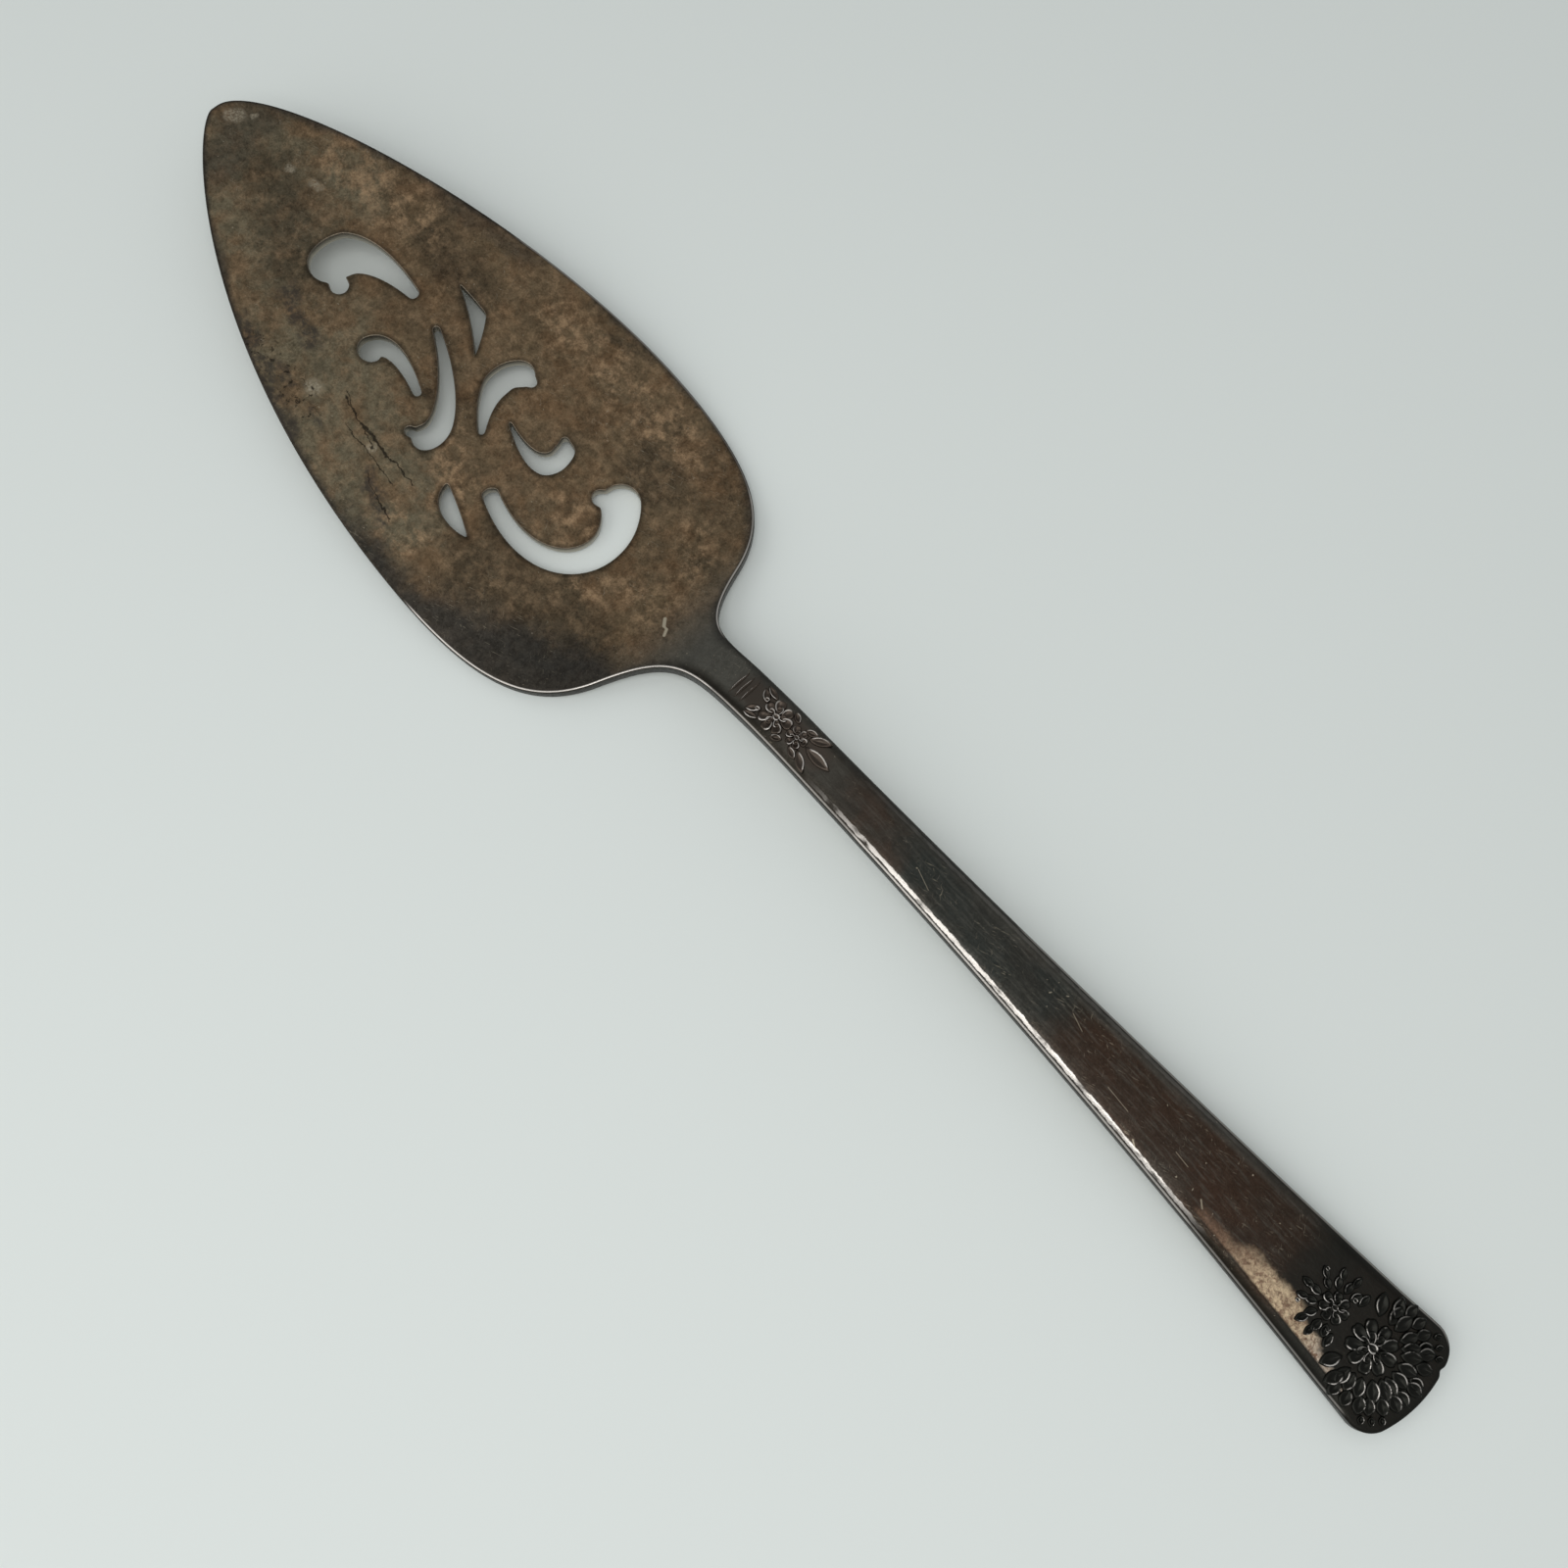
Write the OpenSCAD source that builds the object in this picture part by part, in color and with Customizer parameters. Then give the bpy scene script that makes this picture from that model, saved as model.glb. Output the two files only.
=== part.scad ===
// Pie server: a pierced, leaf-shaped blade and a flat, flared handle, stamped from one blank.
// It is drawn as it lies on a table: the heel and the handle's end touch, the tip is raised.
// Millimetres, Z up. The origin is on the table, under the middle of the outline.
// The plan is worked out with the tip at X = 0 and the handle's centre line on Y = 0.

/* [Overall] */
// Length from the blade's tip to the handle's end
overall_len = 254; // [244:1:270]

/* [Blade outline] */
// Largest width of the blade
blade_w = 53.5; // [48:0.5:60]
// Distance from the tip to the widest place
widest_at = 79; // [74:1:84]
// Distance from the widest place to the middle of the heel's shoulders
heel_len = 30; // [26:0.5:34]
// Width of the heel at the middle of its shoulders
heel_w = 26.6; // [22:0.2:30]
// Steepness of the shoulders at that place
heel_angle = 70; // [60:1:76]
// How blunt the tip is: the pull of its curve to each side
tip_pull = 7.2; // [5:0.2:12]
// How much blunter the tip is on the +Y side, and sharper on the -Y side
tip_skew = 2.8; // [0:0.1:4]
// How full the sides are: the pull of their curve towards the tip
side_pull = 41.5; // [34:0.5:48]
// How much less full the +Y side is, and fuller the -Y side
side_skew = 8.5; // [0:0.5:12]
// How full the shoulders are: the pull of their curve towards the heel
shoulder_pull = 16.8; // [12:0.2:20]
// Pull of the curve on both sides of the shoulders' middle
heel_pull = 10.6; // [7:0.2:12]
// Angle by which the blade leans to one side of the handle
blade_cant = 2.1; // [0:0.1:4]
// How far the tip stands to the side of the handle's centre line
tip_shift = 3.1; // [0:0.1:5]

/* [Neck and handle outline] */
// Distance from the shoulders' middle to the narrowest place of the neck
neck_gap = 15.5; // [13:0.5:20]
// Width of the neck at its narrowest
neck_w = 7; // [6:0.1:9]
// Pull of the heel's hollow curve along the neck
neck_pull = 9; // [6:0.5:11]
// Width of the handle near its end
handle_w = 17.7; // [15:0.1:21]
// How long the handle's sides stay straight after the neck
shank_pull = 20; // [10:1:35]
// How long the handle's sides run straight before its end
flare_pull = 59; // [40:1:70]
// Angle of each side to the centre line near the end
flare_angle = 4.6; // [2:0.1:6]
// Radius of the handle's end corners
corner_r = 4; // [2.5:0.1:6]
// How far the bowed end edge leans where it meets the corners
end_lean = 18; // [6:1:26]

/* [Thickness and edges] */
// Thickness of the blade
blade_t = 1.5; // [1.2:0.1:2.2]
// Thickness of the neck
neck_t = 2.9; // [2.4:0.1:3.6]
// Thickness of the handle at its end
end_t = 2.2; // [1.8:0.1:2.8]
// Width of the softened rim round the blade
rim_w = 0.45; // [0.3:0.05:0.8]
// Depth of that rim below the top face
rim_drop = 0.35; // [0.2:0.05:0.6]
// Width of the sloped band along each side of the handle
band_w = 1.3; // [0.8:0.1:1.8]
// Depth of that band at its outer side
band_drop = 0.8; // [0.5:0.1:1.1]
// Length over which the band grows at the neck
band_run = 14; // [8:1:24]

/* [Side view] */
// Rise of the blade from the heel to the tip
blade_slope = 5; // [2:0.5:8]
// Distance from the lowest line of the heel to the shoulders' middle
heel_touch = 10; // [8:0.5:14]
// Length of the bend between the flat blade and that line
heel_bend = 10; // [6:0.5:14]
// Distance from the neck to the crest of the handle
crest_gap = 11.5; // [8:0.5:20]
// Height of the crest's underside above the table
crest_h = 6.8; // [4:0.2:10]

/* [Piercing] */
// Length of the pierced pattern
pattern_len = 68; // [60:0.5:72]
// Distance from the middle of the pattern to the widest place of the blade
pattern_gap = 17; // [15:0.5:19]
// Clearance of the cutters above and below the plate
cut_clear = 3; // [2:0.5:6]

/* [Relief ornament] */
// Height of the ornament above the face
relief_h = 0.5; // [0.3:0.05:0.8]
// Depth to which each piece of the ornament runs into the metal
relief_sink = 0.5; // [0.3:0.05:0.8]
// Distance from the handle's end to the middle of the large blossom
blossom_gap = 9.2; // [8.6:0.1:12]
// Radius of the large blossom
blossom_r = 3.7; // [2.8:0.1:4.2]
// Distance between the large and the small blossom on the handle
bud_gap = 6.9; // [6.4:0.1:8]
// Radius of the small blossom
bud_r = 2.3; // [1.8:0.1:2.6]
// Distance from the neck to the middle of the neck blossom
neck_blossom_gap = 6.6; // [5.8:0.1:9]
// Radius of the neck blossom
neck_blossom_r = 2.7; // [2:0.1:2.9]
// Outer radius of the leaf border round the large blossom
border_r = 7.8; // [7:0.1:8.2]

/* [Hidden] */

silver_colour = [0.42, 0.39, 0.35];
shoulder_x = widest_at + heel_len;
neck_x = shoulder_x + neck_gap;
touch_x = shoulder_x - heel_touch;
flat_end_x = touch_x - heel_bend;
crest_x = neck_x + crest_gap;
half_w = handle_w / 2;
corner_y = half_w - corner_r * (1 - sin(end_lean));
end_bow = corner_y * tan(end_lean) / 2;
corner_x = overall_len - end_bow - corner_r * cos(end_lean);
blunt_half = 0.5;
// Length at which the points of the openings are drawn
drawn_len = 68;

// General curves and blends
function mix(a, b, k) = a + (b - a) * k;
function ramp(x, a, b) = min(1, max(0, (x - a) / (b - a)));
function smooth(x, a, b) = let (k = ramp(x, a, b)) k * k * (3 - 2 * k);
function bezier(p, t) =
    let (s = 1 - t)
    s * s * s * p[0] + 3 * s * s * t * p[1] + 3 * s * t * t * p[2] + t * t * t * p[3];
function unit(v) = v / norm(v);
function left_of(v) = [-v.y, v.x];

// Side view: the underside, the thickness and the top face over X
function under(x) =
    x < flat_end_x ? (heel_bend / 2 + flat_end_x - x) * tan(blade_slope)
    : x < touch_x ? pow(touch_x - x, 2) * tan(blade_slope) / (2 * heel_bend)
    : x < crest_x ? crest_h * smooth(x, touch_x, crest_x)
    : crest_h * (1 - pow((x - crest_x) / (overall_len - crest_x), 2));
function thick(x) =
    x < neck_x ? mix(blade_t, neck_t, smooth(x, flat_end_x, neck_x))
    : mix(neck_t, end_t, ramp(x, neck_x, overall_len));
function top(x) = under(x) + thick(x);
function lean(x) = atan(top(x + 0.5) - top(x - 0.5));

// From the blade's own straight axis to the plan
function on_blade(p) = [
    p.x * cos(blade_cant) + p.y * sin(blade_cant),
    tip_shift - p.x * sin(blade_cant) + p.y * cos(blade_cant)
];

// Plan outline of one side, from the tip to the end; s is 1 or -1
function edge_front(s) = [
    for (i = [0:17])
        on_blade(bezier([
            [0, s * blunt_half], [0, s * tip_pull + tip_skew],
            [widest_at - side_pull + s * side_skew, s * blade_w / 2],
            [widest_at, s * blade_w / 2]
        ], pow(i / 18, 1.4)))
];
function shoulder(s) = [shoulder_x, s * heel_w / 2];
function shoulder_dir(s) = heel_pull * [cos(heel_angle), -s * sin(heel_angle)];
function edge_shoulder(s) = [
    for (i = [0:13])
        on_blade(bezier([
            [widest_at, s * blade_w / 2], [widest_at + shoulder_pull, s * blade_w / 2],
            shoulder(s) - shoulder_dir(s), shoulder(s)
        ], i / 14))
];
function edge_flare(s) = [
    for (i = [0:11])
        bezier([
            on_blade(shoulder(s)), on_blade(shoulder(s) + shoulder_dir(s)),
            [neck_x - neck_pull, s * neck_w / 2], [neck_x, s * neck_w / 2]
        ], i / 12)
];
function edge_handle(s) = [
    for (i = [0:23])
        bezier([
            [neck_x, s * neck_w / 2], [neck_x + shank_pull, s * neck_w / 2],
            [corner_x - flare_pull, s * (half_w - flare_pull * tan(flare_angle))],
            [corner_x, s * half_w]
        ], i / 24)
];
function edge_end(s) = concat(
    [for (i = [0:5]) let (a = mix(90, end_lean, i / 6))
        [corner_x + corner_r * cos(a), s * (half_w - corner_r + corner_r * sin(a))]],
    [for (k = [1, 0.75, 0.45, blunt_half / corner_y])
        [overall_len - end_bow * k * k, s * corner_y * k]]
);
function edge(s) =
    concat(edge_front(s), edge_shoulder(s), edge_flare(s), edge_handle(s), edge_end(s));

// The rim round the blade grows into the sloped band along the handle, and back at its end
function band(x) =
    smooth(x, neck_x, neck_x + band_run) * (1 - smooth(x, corner_x - band_run / 2, corner_x));
function inset(x) = mix(rim_w, band_w, band(x));
function drop(x) = mix(rim_drop, band_drop, band(x));
function inner(e, s) =
    let (last = len(e) - 1)
    [for (i = [0:last])
        let (d = unit(e[min(i + 1, last)] - e[max(i - 1, 0)]))
        let (p = e[i] - s * left_of(d) * inset(e[i].x))
        // At the two blunt ends the line of the rim stops before the centre line
        i == 0 || i == last ? [p.x - (i == 0 ? 0 : 1) * rim_w / 2, e[i].y] : p];

right_edge = edge(1);
left_edge = edge(-1);
right_inner = inner(right_edge, 1);
left_inner = inner(left_edge, -1);
stations = len(right_edge);
mid_y = (max([for (p = right_edge) p.y]) + min([for (p = left_edge) p.y])) / 2;

// Corners of the cross-section at one station: underside, walls, rim and top face
function section(i) =
    let (l = left_edge[i], r = right_edge[i], li = left_inner[i], ri = right_inner[i])
    [
        [l.x, l.y, under(l.x)], [r.x, r.y, under(r.x)],
        [r.x, r.y, top(r.x) - drop(r.x)], [ri.x, ri.y, top(ri.x)],
        [li.x, li.y, top(li.x)], [l.x, l.y, top(l.x) - drop(l.x)]
    ];

module body() {
    corners = 6;
    points = [for (i = [0:stations - 1]) each section(i)];
    sides = [
        for (i = [0:stations - 2], j = [0:corners - 1])
            let (k = (j + 1) % corners, a = i * corners, b = a + corners)
            each [[a + j, b + j, a + k], [a + k, b + j, b + k]]
    ];
    near_end = [[for (j = [0:corners - 1]) j]];
    far_end = [[for (j = [0:corners - 1]) stations * corners - 1 - j]];
    polyhedron(points = points, faces = concat(near_end, sides, far_end), convexity = 6);
}

// A tapering stroke along a curve: round at its head, with its full width at belly_at
module stroke(spine, head, belly, tail, belly_at) {
    n = 14;
    pts = [for (i = [0:n]) bezier(spine, i / n)];
    dirs = [for (i = [0:n]) unit(pts[min(i + 1, n)] - pts[max(i - 1, 0)])];
    widths = [
        for (i = [0:n])
            let (t = i / n)
            t < belly_at ? mix(head, belly, t / belly_at)
            : mix(belly, tail, (t - belly_at) / (1 - belly_at))
    ];
    back = atan2(dirs[0].y, dirs[0].x);
    head_arc = [for (a = [back + 120:30:back + 240]) pts[0] + head * [cos(a), sin(a)]];
    polygon(concat(
        [for (i = [n:-1:0]) pts[i] + widths[i] * left_of(dirs[i])],
        head_arc,
        [for (i = [0:n]) pts[i] - widths[i] * left_of(dirs[i])]
    ));
}

// A three-cornered leaf; bows are how far its sides bulge, from the first corner round
module leaf_cut(corners, bows) {
    n = 5;
    polygon([
        for (k = [0:2], i = [0:n - 1])
            let (a = corners[k], b = corners[(k + 1) % 3], t = i / n)
            mix(a, b, t) + 4 * t * (1 - t) * bows[k] * unit(left_of(b - a))
    ]);
}

// The small round end of a scroll
module curl(x, y, r) {
    translate([x, y]) circle(r = r, $fn = 16);
}

// The eight openings round the middle of the pattern, on the blade's own axis
module openings() {
    // The scroll nearest to the tip
    stroke([[-30.4, -2.2], [-31, 1.6], [-26.4, 4.4], [-18, 4.4]], 3.3, 3.65, 0.8, 0.25);
    curl(-26.6, -3.4, 1.5);
    // The pair of scrolls and the leaf before the middle
    stroke([[-15.4, -6], [-15.4, -3.6], [-11.6, -2.9], [-5.2, -5.2]], 2.1, 1.5, 0.6, 0.3);
    stroke([[0.7, -8.6], [2.4, -5.6], [-3.6, 0.2], [-12.2, 3.6]], 2, 1.9, 0.5, 0.25);
    curl(-1.5, -9.7, 0.85);
    leaf_cut([[-15.5, 10.8], [-9.1, 10.8], [-4.9, 5.3]], [0.1, 0.2, -0.4]);
    // The pair of scrolls and the leaf behind the middle
    stroke([[1.7, 8.8], [-0.6, 6.6], [0.9, 2.2], [5.5, -1.8]], 2.1, 2, 0.45, 0.45);
    curl(3.7, 9.2, 0.9);
    stroke([[15.4, 6.1], [17, 2], [13.6, 0.4], [6.6, 2.7]], 1.5, 1.75, 0.15, 0.4);
    curl(14.2, 7.1, 0.7);
    leaf_cut([[16.9, -13.5], [11.2, -14], [8.3, -10.4]], [0.5, 0.7, 0.2]);
    // The large scroll at the heel
    stroke([[27, 7.3], [35.6, 1.2], [29.2, -12.2], [13.2, -6.5]], 3, 2.35, 1.2, 0.25);
    curl(24.4, 5.5, 1.3);
}

module piercing() {
    depth = blade_t + 2 * cut_clear;
    translate([0, tip_shift, under(0) - cut_clear]) rotate([0, blade_slope, 0])
        rotate(-blade_cant) translate([widest_at - pattern_gap, 0, 0])
            linear_extrude(height = depth) scale(pattern_len / drawn_len) openings();
}

// Puts a piece of ornament on the top face at a place of the plan
module on_face(x, y) {
    translate([x, y, top(x)]) rotate([0, -lean(x), 0]) children();
}

// A raised leaf or petal from the origin along X: a ridge over a long six-sided foot
module leaf(length, width, height) {
    w = width / 2;
    foot = [
        [0, -w * 0.3], [length * 0.4, -w], [length * 0.8, -w * 0.6],
        [length, 0], [length * 0.8, w * 0.6], [length * 0.4, w], [0, w * 0.3]
    ];
    n = len(foot);
    low = [for (p = foot) [p.x, p.y, -relief_sink]];
    high = [for (p = foot) [p.x, p.y, height * 0.15]];
    ridge = [[length * 0.2, 0, height * 0.8], [length * 0.65, 0, height]];
    polyhedron(
        points = concat(low, high, ridge),
        faces = concat(
            [[for (i = [0:n - 1]) i]],
            [for (i = [0:n - 1]) let (k = (i + 1) % n) each [[i, i + n, k], [k, i + n, k + n]]],
            [[7, 14, 8], [8, 14, 15], [8, 15, 9], [9, 15, 10], [10, 15, 11], [11, 15, 12],
                [12, 15, 14], [12, 14, 13], [13, 14, 7]]
        )
    );
}

// A round blossom: petals round a raised eye
module blossom(r, petals) {
    eye = r * 0.3;
    for (k = [0:petals - 1])
        rotate(360 * (k + 0.5) / petals) translate([eye * 0.8, 0, 0])
            leaf(r - eye * 0.8, 1.7 * PI * r / petals * 0.8, relief_h);
    translate([0, 0, -relief_sink])
        cylinder(h = relief_sink + relief_h * 0.8, r1 = eye, r2 = eye * 0.6, $fn = 14);
}

// Ribs, two blossoms and a spray of leaves that points along the handle
module neck_ornament() {
    r = neck_blossom_r;
    rib_gap = r * 0.4;
    rib_len = neck_w * 0.64;
    middle = neck_x + neck_blossom_gap;
    for (k = [-1:1])
        on_face(neck_x + k * rib_gap, -rib_len / 2) rotate(90)
            leaf(rib_len, rib_gap * 0.55, relief_h * 0.7);
    on_face(middle, 0) blossom(r, 6);
    on_face(middle + r * 1.55, 0) blossom(r * 0.65, 5);
    on_face(middle + r * 2.2, 0) leaf(r * 1.8, r * 0.55, relief_h);
    for (s = [-1, 1]) {
        on_face(middle + r * 2, s * r * 0.26) rotate(s * 32) leaf(r * 1.33, r * 0.45, relief_h);
        on_face(middle - r * 1.1, s * r * 0.2) rotate(s * 140) leaf(r * 0.9, r * 0.4, relief_h);
    }
}

// A large and a small blossom with leaves, and a border of leaves round the handle's end
module end_ornament() {
    r = blossom_r;
    b = bud_r;
    middle = overall_len - blossom_gap;
    bud = middle - bud_gap;
    border_start = r * 1.08;
    on_face(middle, 0) blossom(r, 8);
    on_face(bud, 0) blossom(b, 6);
    on_face(bud - b * 1.1, 0) rotate(180) leaf(b * 2.25, b * 0.7, relief_h);
    for (s = [-1, 1]) {
        on_face(bud - b * 0.8, s * b * 0.6) rotate(s * 152) leaf(b * 1.8, b * 0.65, relief_h);
        on_face(bud + b * 0.25, s * b * 1.1) rotate(s * 128) leaf(b * 1.5, b * 0.65, relief_h);
        on_face(middle - r * 0.7, s * r * 0.87) rotate(s * 140) leaf(r, r * 0.46, relief_h);
    }
    for (a = [-84:24:84])
        on_face(middle, 0) rotate(a) translate([border_start, 0, 0])
            leaf(border_r - border_start, r * 0.5, relief_h * 0.9);
}

module pie_server() {
    color(silver_colour)
        translate([-overall_len / 2, -mid_y, 0])
            union() {
                difference() {
                    body();
                    piercing();
                }
                neck_ornament();
                end_ornament();
            }
}

pie_server();
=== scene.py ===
# Pie server of tarnished silver plate: a pierced, leaf-shaped blade and a flat, flared handle
# with raised flowers. The solid model gives the frame. This file makes the finished surface.
import math
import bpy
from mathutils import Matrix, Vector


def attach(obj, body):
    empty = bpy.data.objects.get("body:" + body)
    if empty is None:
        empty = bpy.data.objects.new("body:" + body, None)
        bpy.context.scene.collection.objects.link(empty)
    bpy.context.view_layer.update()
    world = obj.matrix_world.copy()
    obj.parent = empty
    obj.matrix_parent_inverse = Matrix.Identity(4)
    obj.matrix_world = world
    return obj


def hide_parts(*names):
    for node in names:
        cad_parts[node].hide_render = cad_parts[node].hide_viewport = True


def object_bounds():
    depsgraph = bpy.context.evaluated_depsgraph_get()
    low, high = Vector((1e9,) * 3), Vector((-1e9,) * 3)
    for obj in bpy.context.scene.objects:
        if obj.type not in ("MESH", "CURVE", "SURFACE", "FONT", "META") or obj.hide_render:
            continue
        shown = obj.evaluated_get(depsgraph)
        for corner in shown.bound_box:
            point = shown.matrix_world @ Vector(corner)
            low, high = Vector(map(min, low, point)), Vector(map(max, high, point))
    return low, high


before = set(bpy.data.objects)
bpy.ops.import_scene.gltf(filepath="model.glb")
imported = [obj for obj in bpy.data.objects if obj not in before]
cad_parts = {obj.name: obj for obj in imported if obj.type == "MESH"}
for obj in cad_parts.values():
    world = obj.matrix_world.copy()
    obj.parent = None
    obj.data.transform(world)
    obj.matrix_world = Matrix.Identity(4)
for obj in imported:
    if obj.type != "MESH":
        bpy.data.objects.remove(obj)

from types import SimpleNamespace

import bpy
import numpy as np
from bpy.props import FloatProperty, FloatVectorProperty, IntProperty, PointerProperty
from mathutils import Matrix, Vector
from mathutils.geometry import delaunay_2d_cdt

bl_info = {
    "name": "Pie server",
    "version": (1, 0, 0),
    "blender": (4, 5, 0),
    "location": "3D View > Sidebar > Pie server",
    "description": "Makes the finished pie server and the stage around its solid model",
    "category": "Add Mesh",
}

MM = 0.001
# Distance from an edge at which it has no effect on the tarnish, in millimetres
FAR = 9
# How clean the underside is: 0 is as tarnished as the upper face, 1 is bare metal
UNDERSIDE_CLEAN = 0.55
# How far the finished edge lies inside the solid model's, in millimetres
EDGE_PLAY = 0.035
NODE = "pie_server"
CAD_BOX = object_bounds()

# The stage: half the floor's width, the camera's place, its turn round Z and its tilt, the
# lens as a focal length in a picture of the photograph's width, and the light of the room
FLOOR_HALF = 0.9
CAMERA_PLACE = (0.05536, -0.04607, 0.23044)
CAMERA_TURN = math.radians(47.27)
CAMERA_TILT = math.radians(15)
SENSOR_MM = 36
FOCAL_PX = 1700
PICTURE_PX = 1600
ROOM_COLOUR = (0.95, 0.98, 1, 1)
ROOM_STRENGTH = 0.5
# Name, way to it in the picture (right, up), distance, height, width and watts
LAMPS = (("window", (-1, -0.42), 0.55, 0.31, 0.6, 1.4),
         ("panel", (0, -1), 0.22, 0.55, 0.4, 1.2))


# Sizes and colours that a user can change

def size(label, millimetres, text):
    return FloatProperty(name=label, description=text, default=millimetres * MM,
                         unit="LENGTH", precision=5)


def angle(label, degrees, text):
    return FloatProperty(name=label, description=text, default=math.radians(degrees),
                         subtype="ANGLE")


def linear(hex_colour):
    """An sRGB hex colour as the linear values that a shader takes"""
    parts = [int(hex_colour[i:i + 2], 16) / 255 for i in (1, 3, 5)]
    return tuple(c / 12.92 if c <= 0.04045 else ((c + 0.055) / 1.055) ** 2.4 for c in parts)


def colour(label, hex_colour, text):
    return FloatVectorProperty(name=label, description=text, default=linear(hex_colour),
                               subtype="COLOR", size=3, min=0, max=1)


class BladeSizes(bpy.types.PropertyGroup):
    """The blade's outline, slope and thickness"""
    blade_w: size("Blade width", 53.5, "Largest width of the blade")
    widest_at: size("Widest place", 79, "Distance from the tip to the widest place")
    heel_len: size("Heel length", 30, "Distance from the widest place to the shoulders")
    heel_w: size("Heel width", 26.6, "Width of the heel at the middle of its shoulders")
    heel_angle: angle("Heel angle", 70, "Steepness of the shoulders")
    tip_pull: size("Tip pull", 7.2, "How blunt the tip is")
    tip_skew: size("Tip skew", 2.8, "How much blunter the tip is on the +Y side")
    side_pull: size("Side pull", 41.5, "How full the sides are towards the tip")
    side_skew: size("Side skew", 8.5, "How much less full the +Y side is")
    shoulder_pull: size("Shoulder pull", 16.8, "How full the shoulders are")
    heel_pull: size("Heel pull", 10.6, "Pull of the curve at the shoulders' middle")
    blade_cant: angle("Blade cant", 2.1, "Angle by which the blade leans to one side")
    tip_shift: size("Tip shift", 3.1, "How far the tip stands to the side")
    blade_t: size("Blade thickness", 1.5, "Thickness of the blade")
    blade_slope: angle("Blade slope", 5, "Rise of the blade from the heel to the tip")
    heel_touch: size("Heel touch", 10, "Distance from the heel's lowest line to the shoulders")
    heel_bend: size("Heel bend", 10, "Length of the bend between the blade and that line")
    pattern_gap: size("Pattern gap", 17, "From the pattern's middle to the widest place")
    blunt_half: size("Blunt tip", 0.5, "Half width of the blunt tip")


class HandleSizes(bpy.types.PropertyGroup):
    """The neck's and the handle's outline and thickness"""
    neck_gap: size("Neck gap", 15.5, "From the shoulders to the narrowest place of the neck")
    neck_w: size("Neck width", 7, "Width of the neck at its narrowest")
    neck_pull: size("Neck pull", 9, "Pull of the heel's hollow curve along the neck")
    handle_w: size("Handle width", 17.7, "Width of the handle near its end")
    shank_pull: size("Shank pull", 20, "How long the handle stays slim after the neck")
    flare_pull: size("Flare pull", 59, "How long the sides run straight before the end")
    flare_angle: angle("Flare angle", 4.6, "Angle of each side to the centre line")
    corner_r: size("Corner radius", 4, "Radius of the handle's end corners")
    end_lean: angle("End lean", 18, "How far the bowed end leans at the corners")
    neck_t: size("Neck thickness", 2.9, "Thickness of the neck")
    end_t: size("End thickness", 2.2, "Thickness of the handle at its end")
    crest_gap: size("Crest gap", 11.5, "From the neck to the crest of the handle")
    crest_h: size("Crest height", 6.8, "Height of the crest's underside above the table")


class EdgeSizes(bpy.types.PropertyGroup):
    """How the edges are softened"""
    rim_w: size("Rim width", 0.38, "Width of the rounded rim round the blade")
    rim_drop: size("Rim drop", 0.32, "Depth of that rim")
    band_w: size("Band width", 1.5, "Width of the rounded band along the handle")
    band_drop: size("Band drop", 0.95, "Depth of that band")
    band_run: size("Band run", 14, "Length over which the band grows at the neck")
    under_r: size("Lower edge radius", 0.25, "Rounding of the lower edges")
    cut_r: size("Cut edge radius", 0.16, "Rounding round the openings")
    nick_depth: size("Nick depth", 0.35, "Depth of the nick in the handle's end")


class ReliefSizes(bpy.types.PropertyGroup):
    """The raised flowers"""
    relief_h: size("Relief height", 0.5, "Height of the ornament above the face")
    relief_sink: size("Relief sink", 0.5, "Depth of each petal's foot in the metal")
    blossom_gap: size("Blossom gap", 9.2, "From the handle's end to the large blossom")
    blossom_r: size("Blossom radius", 3.7, "Radius of the large blossom")
    bud_gap: size("Bud gap", 6.9, "Distance between the large and the small blossom")
    bud_r: size("Bud radius", 2.3, "Radius of the small blossom")
    neck_blossom_gap: size("Neck blossom gap", 6.6, "From the neck to its blossom")
    neck_blossom_r: size("Neck blossom radius", 2.7, "Radius of the neck blossom")
    border_r: size("Border radius", 8.5, "Outer radius of the leaf border")
    berry_r: size("Berry radius", 0.42, "Radius of the small berries between the flowers")
    seed: IntProperty(name="Seed", description="Seed of the petals' small differences",
                      default=4, min=0)


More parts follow.
